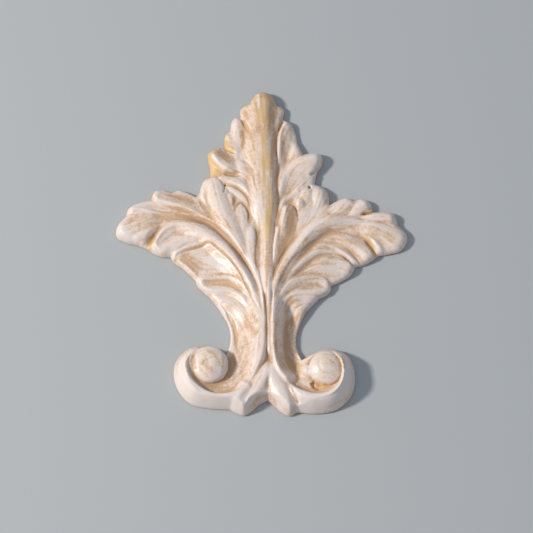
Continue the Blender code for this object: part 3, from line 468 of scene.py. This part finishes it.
# shallow scores on the balls, and a broad hollow beside the midrib: half widths, depth and line
SCORE_FADE = 0.3
SCORES = [
    ("left ball", 0.7, 0.7, 0.22, [(-20.2, -36.6), (-20.0, -38.8), (-19.3, -41.8)]),
    ("left ball crown", 0.9, 0.9, 0.14, [(-17.8, -35.4), (-16.2, -38.2), (-15.4, -41.6)]),
    ("right ball", 0.7, 0.7, 0.12, [(17.0, -37.6), (17.6, -40), (18.6, -42.2)]),
    ("midrib flank", 3, 5, 0.75, [(8, 10), (8.2, 20), (8, 30), (7.2, 39)]),
]


def smooth_step(u):
    """From 0 to 1 as u does, with a soft start and end."""
    u = np.clip(u, 0, 1)
    return u * u * (3 - 2 * u)


def curve_through(points, steps):
    """Catmull-Rom curve through the drawn points."""
    p = np.asarray(points, float)
    p = np.vstack([2 * p[0] - p[1], p, 2 * p[-1] - p[-2]])
    t = np.linspace(0, 1, steps, endpoint=False)[:, None]
    parts = []
    for a, b, c, d in zip(p, p[1:], p[2:], p[3:]):
        bend = (2 * a - 5 * b + 4 * c - d) * t**2 + (3 * b - a - 3 * c + d) * t**3
        parts.append(b + 0.5 * ((c - a) * t + bend))
    parts.append(p[-2:-1])
    return np.vstack(parts)


def outline_ring():
    """The whole outline as one closed ring of points."""
    runs = [run for name, run in OUTLINE]
    starts = [run[0] for run in runs[1:]] + [runs[0][0]]
    return np.vstack([curve_through(run + [end], OUTLINE_STEPS)[:-1] for run, end in zip(runs, starts)])


def inside(x, y, ring):
    """Which points lie within the ring, by counting the sides that each looks across."""
    found = np.zeros(x.shape, bool)
    for (ax, ay), (bx, by) in zip(ring, np.roll(ring, -1, 0)):
        if ay != by:
            found ^= ((ay > y) != (by > y)) & (x < (bx - ax) * (y - ay) / (by - ay) + ax)
    return found


def nearest_on_line(x, y, line):
    """Nearest place on the line for each point, with its distance, side, share of the length and heading."""
    best = np.full(x.shape, np.inf)
    place = np.zeros((2,) + x.shape)
    heading = np.zeros((2,) + x.shape)
    sine = np.zeros(x.shape)
    along = np.zeros(x.shape)
    start = 0.0
    for a, b in zip(line, line[1:]):
        run = b - a
        length = max(np.hypot(*run), TINY)
        t = np.clip(((x - a[0]) * run[0] + (y - a[1]) * run[1]) / length**2, 0, 1)
        dx, dy = x - a[0] - t * run[0], y - a[1] - t * run[1]
        gap = np.hypot(dx, dy)
        near = gap < best
        best[near] = gap[near]
        place[:, near] = np.array([a[0] + t * run[0], a[1] + t * run[1]])[:, near]
        heading[:, near] = (run / length)[:, None]
        sine[near] = ((run[0] * dy - run[1] * dx) / (length * np.maximum(gap, TINY)))[near]
        along[near] = (start + t * length)[near]
        start += length
    return place, best, sine, along / start, heading


def stroke(x, y, points, left, right, root, tip):
    """Where a ridge or cut reaches: the points, how far across it they lie (0 to 1) and its strength."""
    line = curve_through(points, SPINE_STEPS)
    reach = max(left, right)
    low, high = line.min(0) - reach, line.max(0) + reach
    which = np.nonzero((x > low[0]) & (x < high[0]) & (y > low[1]) & (y < high[1]))[0]
    place, gap, sine, along, heading = nearest_on_line(x[which], y[which], line)
    strength = np.ones(which.shape)
    if root:
        strength *= smooth_step(along / root)
    if tip:
        strength *= smooth_step((1 - along) / tip)
    width = (left + right) / 2 + (left - right) / 2 * sine
    width *= NARROWEST + (1 - NARROWEST) * strength
    return which, np.clip(gap / width, 0, 1), strength


def ground(x, y):
    """Smooth surface through the levels."""
    p = np.array(LEVELS, float)
    n = len(p)
    far = np.hypot(p[:, :1] - p[:, 0], p[:, 1:2] - p[:, 1])
    system = np.zeros((n + 3, n + 3))
    system[:n, :n] = GROUND_SLACK * np.eye(n) - np.hypot(far, GROUND_SOFTNESS)
    system[:n, n] = 1
    system[:n, n + 1:] = p[:, :2]
    system[n:, :n] = system[:n, n:].T
    weights = np.linalg.solve(system, np.concatenate([p[:, 2], np.zeros(3)]))
    height = weights[n] + weights[n + 1] * x + weights[n + 2] * y
    for (px, py, level), weight in zip(p, weights):
        height -= weight * np.sqrt((x - px) ** 2 + (y - py) ** 2 + GROUND_SOFTNESS**2)
    return height


def relief(x, y, edge):
    """Height of the face at each point that lies the distance edge within the outline."""
    raised = np.zeros(x.shape)
    for name, left, right, rise, root, tip, power, points in RIDGES:
        which, across, strength = stroke(x, y, points, left, right, root, tip)
        raised[which] += (rise * strength * (1 - across**power) ** SHOULDER) ** CREASE
    sunk = np.zeros(x.shape)
    for name, left, right, depth, root, tip, points in CUTS:
        which, across, strength = stroke(x, y, points, left, right, root, tip)
        sunk[which] = np.maximum(sunk[which], depth * strength * (1 - smooth_step(across)))
    height = np.maximum(ground(x, y) + raised ** (1 / CREASE) - sunk, THINNEST)

    u = np.clip(edge / EDGE_ROLL, 0, 1)
    leafy = EDGE_HEIGHT + (height - EDGE_HEIGHT) * np.sqrt(1 - (1 - u) ** 2)
    u = np.clip(edge / VOLUTE_WALL, 0, 1)
    wall = VOLUTE_EDGE + (VOLUTE_RIM - VOLUTE_EDGE) * (1 - (1 - u) ** VOLUTE_CURVE)
    wall += ABOVE_RIM * np.maximum(edge - VOLUTE_WALL, 0)
    height = leafy + (np.minimum(height, wall) - leafy) * smooth_step((VOLUTE_LINE - y) / VOLUTE_BLEND)

    for name, (cx, cy), radius, foot, top in BALLS:
        across = np.hypot(x - cx, y - cy) / radius
        dome = foot + (top - foot) * np.maximum(1 - across**2, 0) ** BALL_ROUND
        height = np.where(across < 1, np.maximum(height, dome), height)
    return height


# Unevenness of the hand-cut pattern, which the mould copied: size of a swell, its height, and a seed
SWELLS = [
    (7.0, 0.10, 11),
    (2.6, 0.05, 12),
    (1.1, 0.022, 13),
]

# how many random numbers each way a swell is drawn from
DICE = 512

# brush marks: their height, the width of a bristle's mark, and the steps in which a mark is followed each way
BRUSH_RELIEF = 0.04
BRISTLE = 0.55
TRACE_STEP = 0.3
TRACE_STEPS = 9
RELIEF_SEED = 14
STREAK_SEED = 15

# the way the leaf runs: grid, margin, how far a ridge's heading reaches, and the pull up the leaf elsewhere
HEADING_CELL = 1.0
HEADING_MARGIN = 2
HEADING_REACH = 2.2
FAINT_PULL = 1e-3


def swell(x, y, size, seed):
    """Smooth random bumps of this size, between -1 and 1."""
    dice = np.random.default_rng(seed).uniform(-1, 1, (DICE, DICE))
    u, v = x / size + DICE / 2, y / size + DICE / 2
    i, j = np.floor(u).astype(int), np.floor(v).astype(int)
    a, b = smooth_step(u - i), smooth_step(v - j)
    low = dice[i, j] * (1 - a) + dice[i + 1, j] * a
    high = dice[i, j + 1] * (1 - a) + dice[i + 1, j + 1] * a
    return low * (1 - b) + high * b


class Raster:
    """Values on an even grid over the moulding, read between its points."""

    # keeps a place on the far side within the last square
    LAST_SQUARE = 1.001

    def __init__(self, low, cell, values):
        self.low, self.cell, self.values = low, cell, values

    def read(self, x, y):
        u = np.clip((x - self.low[0]) / self.cell, 0, self.values.shape[-1] - self.LAST_SQUARE)
        v = np.clip((y - self.low[1]) / self.cell, 0, self.values.shape[-2] - self.LAST_SQUARE)
        i, j = u.astype(int), v.astype(int)
        a, b = u - i, v - j
        value = self.values
        low = value[..., j, i] * (1 - a) + value[..., j, i + 1] * a
        high = value[..., j + 1, i] * (1 - a) + value[..., j + 1, i + 1] * a
        return low * (1 - b) + high * b


def headings(low, high):
    """Which way the leaf runs at each place, taken from the ridges near it."""
    x, y = np.meshgrid(np.arange(low[0], high[0], HEADING_CELL), np.arange(low[1], high[1], HEADING_CELL))
    total = np.zeros((2,) + x.shape)
    total[1] += FAINT_PULL
    for name, left, right, rise, root, tip, power, points in RIDGES:
        place, gap, sine, along, heading = nearest_on_line(x, y, curve_through(points, SPINE_STEPS))
        total += heading * np.exp(-((gap / HEADING_REACH) ** 2))
    return Raster(low, HEADING_CELL, total / np.hypot(*total))


def brushed(x, y, flow, size, seed):
    """Random bumps drawn out along the leaf, as a brush leaves them, between about -1 and 1."""
    total = swell(x, y, size, seed)
    for way in (-1, 1):
        px, py = x.copy(), y.copy()
        for step in range(TRACE_STEPS):
            hx, hy = flow.read(px, py)
            px += way * TRACE_STEP * hx
            py += way * TRACE_STEP * hy
            total += swell(px, py, size, seed)
    return total / math.sqrt(2 * TRACE_STEPS + 1)


def softened(values, known, cells):
    """Weighted mean of the known values around each cell, by running sums taken twice each way."""
    def spread(field):
        for axis in (0, 1):
            margin = [(0, 0), (0, 0)]
            margin[axis] = (cells + 1, cells)
            span = np.arange(field.shape[axis])
            for again in range(2):
                sums = np.cumsum(np.pad(field, margin), axis)
                field = sums.take(span + 2 * cells + 1, axis) - sums.take(span, axis)
        return field
    return spread(np.where(known, values, 0)) / np.maximum(spread(known.astype(float)), 1)


def face_height(x, y, edge, flow):
    """The carved face with its unevenness, brush marks, scores and pits."""
    height = relief(x, y, edge)
    settle = smooth_step(edge / EDGE_ROLL)
    for size, depth, seed in SWELLS:
        height += settle * depth * swell(x, y, size, seed)
    height += settle * BRUSH_RELIEF * brushed(x, y, flow, BRISTLE, RELIEF_SEED)
    for name, left, right, depth, points in SCORES:
        which, across, strength = stroke(x, y, points, left, right, SCORE_FADE, SCORE_FADE)
        height[which] -= depth * strength * (1 - smooth_step(across))
    for (px, py), radius, depth in PITS:
        height -= depth * (1 - smooth_step(np.hypot(x - px, y - py) / radius))
    return height


# Where the paint is rubbed off to the resin (bare), lies thin and brown (wash and painted shade), or is
# whole,
# which takes away from the other two: half width, strength and line. Some wash patches are painted shade, and
# some whole patches are painted highlights.
BARE = [
    ("tip", 3.6, 0.8, [(0.6, 52.4), (0.1, 46.5), (0.7, 39)]),
    ("tip edge", 2.8, 0.85, [(-5.4, 46), (-2.8, 51.6), (0.6, 53.6), (3.6, 51.4), (5.4, 47)]),
    ("midrib", 4, 0.6, [(0.5, 48), (1.3, 33), (1.9, 22), (2.1, 12), (2.3, -4)]),
    ("left nose wall", 3.6, 1.5, [(-17.6, 33), (-15.4, 27.4), (-12.8, 23)]),
    ("left ear lower", 2, 1.1, [(-12, 38), (-11, 34.2), (-7.6, 32)]),
    ("left ear crease", 0.7, 0.9, [(-7, 45), (-5.6, 42.6), (-4.3, 39.6)]),
    ("left leaf", 3.2, 0.3, [(-34, 10), (-27, 10.6), (-20, 10.4)]),
    ("left notch", 1.5, 0.9, [(-33, 4.2), (-35.8, -2)]),
    ("right upper slot", 1.0, 0.9, [(30.8, 11.5), (34.4, 11.9)]),
    ("right lobe cut", 1.6, 1.2, [(31.2, 4), (34.2, 0.2), (36, -4)]),
    ("right scroll floor", 2, 0.5, [(10.4, -37.6), (11.6, -41), (13, -44)]),
    ("right pit", 2.4, 0.55, [(14.6, -43.4), (16.6, -45.4), (20.6, -46.4)]),
    ("right ear notch", 0.9, 0.6, [(5.8, 43.4), (6.6, 42)]),
]
WASH_AND_SHADE = [
    ("tip", 6.4, 1.15, [(0.5, 60), (0.4, 47), (0.8, 34)]),
    ("midrib left", 3.8, 0.5, [(-2.6, 46), (-2.4, 28), (-1.8, 12)]),
    ("right leaf", 9.0, 0.42, [(8, -12), (20, -1), (36, 4)]),
    ("left nose top", 3.2, 1.1, [(-17.6, 33.6), (-13, 31.8), (-7.6, 28.4)]),
    ("left nose hollow", 2.4, 0.9, [(-12.6, 25.6), (-9, 25), (-6, 25.4)]),
    # painted shade on the midrib's right flank, which faces away from the lamp
    ("midrib right shade", 2.6, 0.6, [(3.6, 46), (3.9, 34), (4.2, 22), (4.4, 10)]),
    ("right ear", 2.2, 0.6, [(6.4, 42.6), (6.8, 36), (6.6, 29)]),
    ("left leaf top", 2.6, 0.75, [(-33, 18.2), (-26, 16.6), (-19, 14.6), (-13, 8.8), (-8, 0.4)]),
    ("left leaf middle", 4.2, 0.75, [(-37, 10), (-25, 10.4), (-15, 8.4)]),
    ("left leaf flank", 2.4, 0.85, [(-22, 12.6), (-17, 10), (-12.6, 5.6), (-8.6, -0.4), (-4, -8)]),
    ("left lobe c", 3.8, 1.0, [(-26, -2.4), (-22, -4.4), (-18.6, -9.6)]),
    ("left lobe d", 2.3, 0.9, [(-20.4, -11.8), (-14, -11.8), (-9, -12.8), (-4, -16)]),
    ("left lobe d line", 1.1, 1.0, [(-20, -10.4), (-14, -9.2), (-9.4, -9.6), (-5.6, -12.4), (-2, -18)]),
    ("left thin groove", 1.0, 0.8, [
        (-29, -3.6), (-22, -0.6), (-17, 1.2), (-14.4, 0), (-11, -3.2), (-7.4, -8), (-3, -16)
    ]),
    ("left tip", 4.2, 0.6, [(-30, 8), (-36, 8.4), (-43.6, 7.6)]),
    ("tip right", 3.2, 0.9, [(3, 53), (4, 46), (4.6, 40)]),
    ("left waist", 1.3, 0.8, [(-10.4, -21), (-8.5, -25), (-7.5, -29), (-7.4, -34), (-8.2, -38)]),
    ("left ball edge", 1.2, 0.7, [(-20, -35.6), (-20.6, -38.4), (-19.8, -42)]),
    ("left ball streak", 1.3, 0.8, [(-17.6, -34.6), (-14.4, -36.6), (-12.4, -40.6)]),
    ("left ball band", 1.6, 0.8, [(-18.8, -38), (-16.4, -40.6), (-13.6, -43.6)]),
    ("right ball edge", 1.2, 0.7, [(22, -36.4), (23.8, -39.4), (22.8, -43)]),
    # tan paint and a painted shadow cast by the ball, in the hollow right of the ball
    ("left scroll hollow paint and shade", 2.0, 0.9, [(-8.4, -34), (-8.6, -38), (-9, -41)]),
    ("left scroll floor", 2.2, 0.6, [(-8.4, -38), (-8.6, -43), (-13, -46), (-18.4, -45)]),
    ("right leaf hollow", 3.4, 0.55, [(9, -5), (15, 0.8), (21, 4.8), (27, 6.4), (34, 6)]),
    ("right leaf second hollow", 3, 0.4, [(7, -13), (12.6, -7.6), (20, -4.4), (28, -3)]),
    ("right lobe d", 2.4, 0.4, [(6, -18), (11, -13.8), (21, -12.8)]),
    ("right leaf tip", 4, 0.5, [(31, 5), (38, 3.4), (43, 1)]),
    ("right long lobe", 3.4, 0.9, [(5.6, -16), (6.6, -2), (6.8, 10)]),
    ("right bead lobe", 2.8, 1.5, [(8, -2), (8.8, 8), (9.4, 18)]),
    ("left notch", 1.4, 0.8, [(-33, 4), (-34.6, 1)]),
    ("left bead line", 1.1, 1.1, [(-9, 10), (-7.9, 13.4), (-6.2, 14.7), (-4.7, 13), (-3.9, 10.4), (-4.4, 6)]),
    ("left long line", 1.0, 0.9, [(-3.6, 7), (-2, 5.6), (-1.4, 2), (-1.8, -4), (-1.2, -10)]),
    ("left lobe four line", 0.9, 0.6, [(-11, 21.4), (-9.5, 20.8), (-6.5, 19), (-4.4, 16.4), (-3.4, 12)]),
    ("left small bead line", 1.2, 1.2, [(-8.4, 17.6), (-8.5, 15.4), (-9.2, 12.8)]),
    ("midrib root", 1.7, 0.8, [(2, 16), (2.4, 4), (2.4, -12)]),
    ("stem left line", 1.1, 1.0, [(2.2, 2), (1.6, -10), (1.6, -24), (1.8, -35)]),
    ("tip left", 2.8, 1.0, [(-6, 49), (-3.8, 42), (-2.8, 34)]),
    ("left stem face", 4.5, 0.6, [(-3, -18), (-3.6, -30), (-5, -46)]),
    ("left ball", 5.4, 0.3, [(-15.8, -44), (-15.8, -33)]),
    ("left ear crease", 1.0, 0.9, [(-6.4, 41), (-5.8, 37), (-6, 33)]),
    ("right waist", 2.2, 0.8, [(13, -19), (10, -25), (9.8, -34), (11, -42)]),
    # painted shade at the head of the right channel
    ("right waist top shade", 2.6, 0.8, [(7, -14), (10, -18), (12, -21)]),
    # painted shade on the right channel's steep wall
    ("right channel wall shade", 2, 0.9, [(4.6, -22), (4.4, -32), (6, -38), (8.6, -43.4)]),
    ("left flank top", 2.2, 0.8, [(-18, 12.6), (-14, 9.6), (-10.4, 5.2)]),
    ("right upper edge", 1.6, 0.4, [(24, 13), (31, 13), (39, 10)]),
]
WHOLE = [
    ("left scroll wall", 4.5, 1.0, [(-26, -38), (-24, -45), (-17, -50), (-9, -52), (-2, -46)]),
    ("right scroll wall", 4, 0.9, [(27, -36), (26, -44), (20, -49.6), (13, -51), (9.4, -46)]),
    ("left lobe c crest", 2.4, 0.6, [(-18, -3), (-12.6, -6), (-7, -12)]),
    ("right foot crest", 2.6, 1.1, [(2.2, -37), (5, -44), (8.6, -52)]),
    ("left tip end", 2.6, 0.8, [(-44, 8), (-43.4, 4), (-38, 2)]),
    # paint left whole and white along the tip's crest: painted highlight
    ("tip crest highlight", 1.2, 0.8, [(-1.8, 51), (-1, 49), (-0.8, 46)]),
    # paint left whole and white along the left nose's crest: painted highlight
    ("left nose crest highlight", 1.1, 1.3, [(-16.4, 32), (-14.2, 29.4), (-12.2, 27.4), (-10.4, 26)]),
]
PATCH_FADE = 0.22

# hollows and crests: the cells over which the surroundings are averaged, and the depth or height that
# counts in full
HOLLOW_REACH = 6
HOLLOW_DEPTH = 0.62
CREST_REACH = 2
CREST_HEIGHT = 0.2
RASTER_MARGIN = 4
SHARP_ANGLE = math.radians(60)


def painted_where(x, y, rows):
    """Strength of these patches at each point."""
    found = np.zeros(x.shape)
    for name, width, strength, points in rows:
        which, across, rise = stroke(x, y, points, width, width, PATCH_FADE, PATCH_FADE)
        found[which] = np.maximum(found[which], strength * rise * (1 - smooth_step(across)))
    return found


def carved_face(ring):
    """Flat grid cut to the outline, in drawing units, and the corner that its squares are counted from."""
    low, high = ring.min(0), ring.max(0)
    nx, ny = [int(np.ceil(side / CELL)) + 2 for side in high - low]
    bm = bmesh.new()
    size = np.array([nx, ny]) * CELL
    fit = Matrix.Translation((*(low + high) / 2, 0)) @ Matrix.Diagonal((*size, 1, 1))
    bmesh.ops.create_grid(bm, x_segments=nx, y_segments=ny, size=0.5, matrix=fit)
    co = np.array([v.co[:2] for v in bm.verts])
    keep = inside(co[:, 0], co[:, 1], ring)
    bmesh.ops.delete(bm, geom=[v for v, k in zip(bm.verts, keep) if not k], context="VERTS")
    bmesh.ops.delete(bm, geom=[v for v in bm.verts if not v.link_faces], context="VERTS")

    closed = np.vstack([ring, ring[:1]])
    rim = [v for v in bm.verts if v.is_boundary]
    co = np.array([v.co[:2] for v in rim])
    place = nearest_on_line(co[:, 0], co[:, 1], closed)[0]
    for v, px, py in zip(rim, *place):
        v.co[:2] = px, py
    bmesh.ops.remove_doubles(bm, verts=rim, dist=WELD)
    return bm, (low + high - size) / 2


def edge_distance(x, y, ring, is_rim):
    """How far within the outline each point lies."""
    edge = nearest_on_line(x, y, np.vstack([ring, ring[:1]]))[1]
    edge[is_rim] = 0
    return edge


def closed_body(bm):
    """Upright edge, chamfer and flat back."""
    rim = [e for e in bm.edges if e.is_boundary]
    made = bmesh.ops.extrude_edge_only(bm, edges=rim)["geom"]
    for v in made:
        if isinstance(v, bmesh.types.BMVert):
            v.co.z = CHAMFER
    foot = [e for e in made if isinstance(e, bmesh.types.BMEdge)]
    back = bmesh.ops.contextual_create(bm, geom=foot)["faces"]
    bmesh.ops.recalc_face_normals(bm, faces=bm.faces[:])
    bmesh.ops.inset_region(bm, faces=back, thickness=CHAMFER, depth=CHAMFER, use_even_offset=True)


ring = outline_ring()
middle = (ring.min(0) + ring.max(0)) / 2
flow = headings(ring.min(0) - HEADING_MARGIN, ring.max(0) + HEADING_MARGIN)
bm, corner = carved_face(ring)
co = np.array([v.co[:2] for v in bm.verts])
x, y = co.T
edge = edge_distance(x, y, ring, np.array([v.is_boundary for v in bm.verts]))
height = face_height(x, y, edge, flow)
for v, z in zip(bm.verts, height):
    v.co.z = z

# how far each place lies below or above what surrounds it
low = corner - RASTER_MARGIN * CELL
shape = [int(side / CELL) + 2 * RASTER_MARGIN for side in (ring.max(0) - low)][::-1]
col, row = [np.rint((a - b) / CELL).astype(int) for a, b in zip((x, y), low)]
grid = np.zeros(shape)
known = np.zeros(shape, bool)
grid[row, col] = height
known[row, col] = True
around = Raster(low, CELL, softened(grid, known, HOLLOW_REACH)).read(x, y)
near = Raster(low, CELL, softened(grid, known, CREST_REACH)).read(x, y)
whole = painted_where(x, y, WHOLE)
notes = {
    "hollow": np.clip((around - height) / HOLLOW_DEPTH, 0, 1) * smooth_step(edge / EDGE_ROLL),
    "crest": np.clip((height - near) / CREST_HEIGHT, 0, 1),
    "streak": brushed(x, y, flow, BRISTLE, STREAK_SEED),
    "bare": painted_where(x, y, BARE) - whole,
    "wash_and_shade": painted_where(x, y, WASH_AND_SHADE) - whole,
}
layers = {name: bm.verts.layers.float.new(name) for name in notes}
for name, values in notes.items():
    layer = layers[name]
    for v, value in zip(bm.verts, values):
        v[layer] = value

closed_body(bm)
bmesh.ops.transform(bm, verts=bm.verts[:], matrix=Matrix.Scale(UNIT, 4) @ Matrix.Translation((*-middle, 0)))
bm.normal_update()
for f in bm.faces:
    f.smooth = True
mesh = bpy.data.meshes.new("moulding_casting")
bm.to_mesh(mesh)
bm.free()
mesh.set_sharp_from_angle(angle=SHARP_ANGLE)
casting = bpy.data.objects.new("moulding_casting", mesh)
bpy.context.scene.collection.objects.link(casting)


# The whitewash
# Thin pinkish-white paint with a little shine, brushed along the leaves and wiped back while wet. It is thick
# and white on what stands up, thin and tan in the hollows, and rubbed through to the yellow resin in places.
# The deepest hollows, and the resin where it shows in them, are darkened as painted shade. Some brown patches
# are painted shade, and some white crests are painted highlights.
WHITE = (0.760, 0.658, 0.608, 1)
CREAM = (0.735, 0.568, 0.450, 1)
TAN = (0.545, 0.350, 0.215, 1)
# brown of the painted shade in the deepest hollows
HOLLOW_SHADE_BROWN = (0.410, 0.250, 0.145, 1)
RESIN = (0.680, 0.450, 0.225, 1)
# resin darkened as painted shade where it shows in a hollow
SHADED_RESIN = (0.420, 0.270, 0.095, 1)

# clouds, grains and specks in the paint, and the depth of its roughness, in metres
CLOUD_SIZE = 0.006
GRAIN_SIZE = 0.0011
SPECK_SIZE = 0.0005
BUMP_DEPTH = 0.0001


class Shade:
    """A socket of the paint's nodes. Sums on it add Math nodes, and node adds any other node."""

    def __init__(self, tree, socket=None):
        self.tree = tree
        self.socket = socket

    def node(self, kind, settings=None, inputs=None, output=0):
        made = self.tree.nodes.new(kind)
        for name, value in (settings or {}).items():
            setattr(made, name, value)
        for key, value in (inputs or {}).items():
            if isinstance(value, Shade):
                self.tree.links.new(value.socket, made.inputs[key])
            else:
                made.inputs[key].default_value = value
        return Shade(self.tree, made.outputs[output])

    def math(self, operation, first, second, clamp=False):
        settings = {"operation": operation, "use_clamp": clamp}
        return self.node("ShaderNodeMath", settings, {0: first, 1: second})

    def __add__(self, other):
        return self.math("ADD", self, other)

    def __sub__(self, other):
        return self.math("SUBTRACT", self, other)

    def __mul__(self, other):
        return self.math("MULTIPLY", self, other)

    def __rsub__(self, other):
        return self.math("SUBTRACT", other, self)

    __radd__ = __add__
    __rmul__ = __mul__

    def kept(self):
        """The value held between 0 and 1."""
        return self.math("ADD", self, 0.0, clamp=True)

    def between(self, start, end):
        """0 at start, 1 at end, with a soft passage."""
        inputs = {"Value": self, "From Min": start, "From Max": end}
        return self.node("ShaderNodeMapRange", {"interpolation_type": "SMOOTHSTEP"}, inputs)

    def mix(self, first, second):
        """From the first colour to the second as this value goes from 0 to 1."""
        return self.node("ShaderNodeMix", {"data_type": "RGBA"}, {0: self, 6: first, 7: second}, output=2)


def speckle(bench, place, size, detail=3.0, roughness=0.55):
    """Noise with grains of about this size, in metres."""
    inputs = {"Vector": place, "Scale": 1 / size, "Detail": detail, "Roughness": roughness}
    return bench.node("ShaderNodeTexNoise", inputs=inputs)


def whitewash():
    """The rubbed paint over the resin, by the notes on the casting's points and by noise."""
    material = bpy.data.materials.new("whitewash")
    material.use_nodes = True
    tree = material.node_tree
    shader = tree.nodes["Principled BSDF"]
    bench = Shade(tree)
    place = bench.node("ShaderNodeTexCoord", output="Object")
    hollow, crest, streak, bare, wash_and_shade = [
        bench.node("ShaderNodeAttribute", {"attribute_name": name}, output="Fac") for name in notes
    ]
    normal = bench.node("ShaderNodeNewGeometry", output="Normal")
    facing = bench.node("ShaderNodeSeparateXYZ", inputs={"Vector": normal}, output="Z")
    cloud = speckle(bench, place, CLOUD_SIZE)
    grain = speckle(bench, place, GRAIN_SIZE, 4.0, 0.65)
    fine = speckle(bench, place, SPECK_SIZE, 2.0, 0.6)

    blotch = (cloud - 0.5) * 0.8 + (grain - 0.5) * 1.1 + (fine - 0.5) * 1.3 - streak * 0.3
    # thin takes in the wash note, so it holds painted shade as well as the thin brown wash
    thin = wash_and_shade * 0.8 + hollow * 0.75 - crest * 0.45 + blotch * (1 - hollow * 0.5) + 0.1
    # the deepest hollows darken to brown: painted shade
    hollow_shade = (hollow - 0.55 + (grain - 0.5) * 0.5).kept()
    worn = (bare * (1.2 + (grain - 0.5) * 1.4 + (cloud - 0.5) * 1.0 - streak * 0.5)).between(0.1, 0.95)
    colour = thin.between(-0.2, 0.4).mix(WHITE, CREAM)
    colour = thin.between(0.2, 1.0).mix(colour, TAN)
    colour = (hollow_shade * 0.55).mix(colour, HOLLOW_SHADE_BROWN)
    # resin that shows in a hollow darkens: painted shade
    colour = worn.mix(colour, (hollow * 0.8 - 0.35).kept().mix(RESIN, SHADED_RESIN))
    colour = facing.between(-0.3, -0.7).mix(colour, RESIN)
    tree.links.new(colour.socket, shader.inputs["Base Color"])

    gloss = 0.38 + thin.kept() * 0.16 + (fine - 0.5) * 0.20
    tree.links.new(gloss.kept().socket, shader.inputs["Roughness"])
    bump = bench.node("ShaderNodeBump", inputs={
        "Strength": 0.5, "Distance": BUMP_DEPTH, "Height": grain * 0.6 + fine * 0.4 + streak * 0.12,
    })
    tree.links.new(bump.socket, shader.inputs["Normal"])
    return material


mesh.materials.append(whitewash())
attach(casting, "root")
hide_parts("moulding")


# The table
# A plain pale board under the moulding, wide enough to fill the view from every side. It lies a hair below
# the moulding's back, so that the two faces don't meet.
TABLE_SIDE = 3.0
TABLE_DROP = 0.0002
TABLE_COLOUR = (0.42, 0.44, 0.45, 1)
TABLE_ROUGHNESS = 0.7
bm = bmesh.new()
bmesh.ops.create_grid(bm, x_segments=1, y_segments=1, size=TABLE_SIDE / 2)
bmesh.ops.translate(bm, verts=bm.verts[:], vec=(0, 0, -TABLE_DROP))
mesh = bpy.data.meshes.new("table")
bm.to_mesh(mesh)
bm.free()
table = bpy.data.objects.new("table", mesh)
bpy.context.scene.collection.objects.link(table)
board = bpy.data.materials.new("pale_board")
board.use_nodes = True
paint = board.node_tree.nodes["Principled BSDF"]
paint.inputs["Base Color"].default_value = TABLE_COLOUR
paint.inputs["Roughness"].default_value = TABLE_ROUGHNESS
mesh.materials.append(board)
table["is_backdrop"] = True


# The light
# One soft lamp at a slant on the left, a little towards the feet, and an even pale blue room around it. Sizes
# here and below are in metres.
LAMP_TURN = math.radians(184)
LAMP_RISE = math.radians(39)
LAMP_AWAY = 1.2
LAMP_SIDE = 0.12
LAMP_POWER = 13.2
LAMP_COLOUR = (1.0, 0.95, 0.88)
ROOM_COLOUR = (0.80, 0.88, 1.0, 1)
ROOM_STRENGTH = 0.48
away = Vector((
    math.cos(LAMP_RISE) * math.cos(LAMP_TURN),
    math.cos(LAMP_RISE) * math.sin(LAMP_TURN),
    math.sin(LAMP_RISE),
))
light = bpy.data.lights.new("lamp", "AREA")
light.size = LAMP_SIDE
light.energy = LAMP_POWER
light.color = LAMP_COLOUR
lamp = bpy.data.objects.new("lamp", light)
lamp.location = away * LAMP_AWAY
lamp.rotation_euler = away.to_track_quat("Z", "Y").to_euler()
bpy.context.scene.collection.objects.link(lamp)
world = bpy.data.worlds.new("room")
world.use_nodes = True
world.node_tree.nodes["Background"].inputs["Color"].default_value = ROOM_COLOUR
world.node_tree.nodes["Background"].inputs["Strength"].default_value = ROOM_STRENGTH
bpy.context.scene.world = world
bpy.context.scene.view_settings.view_transform = "Standard"


# The camera
# It looks down steeply from beyond the feet, as the photograph was taken. The point that it looks at and its
# scale are in the drawing's millimetres.
LOOK_AT = (1.55, -5.2)
LOOK_DOWN = math.radians(68)
CAMERA_AWAY = 0.7
PICTURE = 533
PIXELS_PER_MM = 3.222
SENSOR = 36.0
target = Vector(((LOOK_AT[0] - middle[0]) * UNIT, (LOOK_AT[1] - middle[1]) * UNIT, 0))
back = Vector((0, -math.cos(LOOK_DOWN), math.sin(LOOK_DOWN)))
lens = bpy.data.cameras.new("camera")
lens.sensor_width = SENSOR
lens.lens = SENSOR * PIXELS_PER_MM * 1000 * CAMERA_AWAY / PICTURE
camera = bpy.data.objects.new("camera", lens)
camera.location = target + back * CAMERA_AWAY
camera.rotation_euler = back.to_track_quat("Z", "Y").to_euler()
bpy.context.scene.collection.objects.link(camera)
bpy.context.scene.camera = camera

low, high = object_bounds()
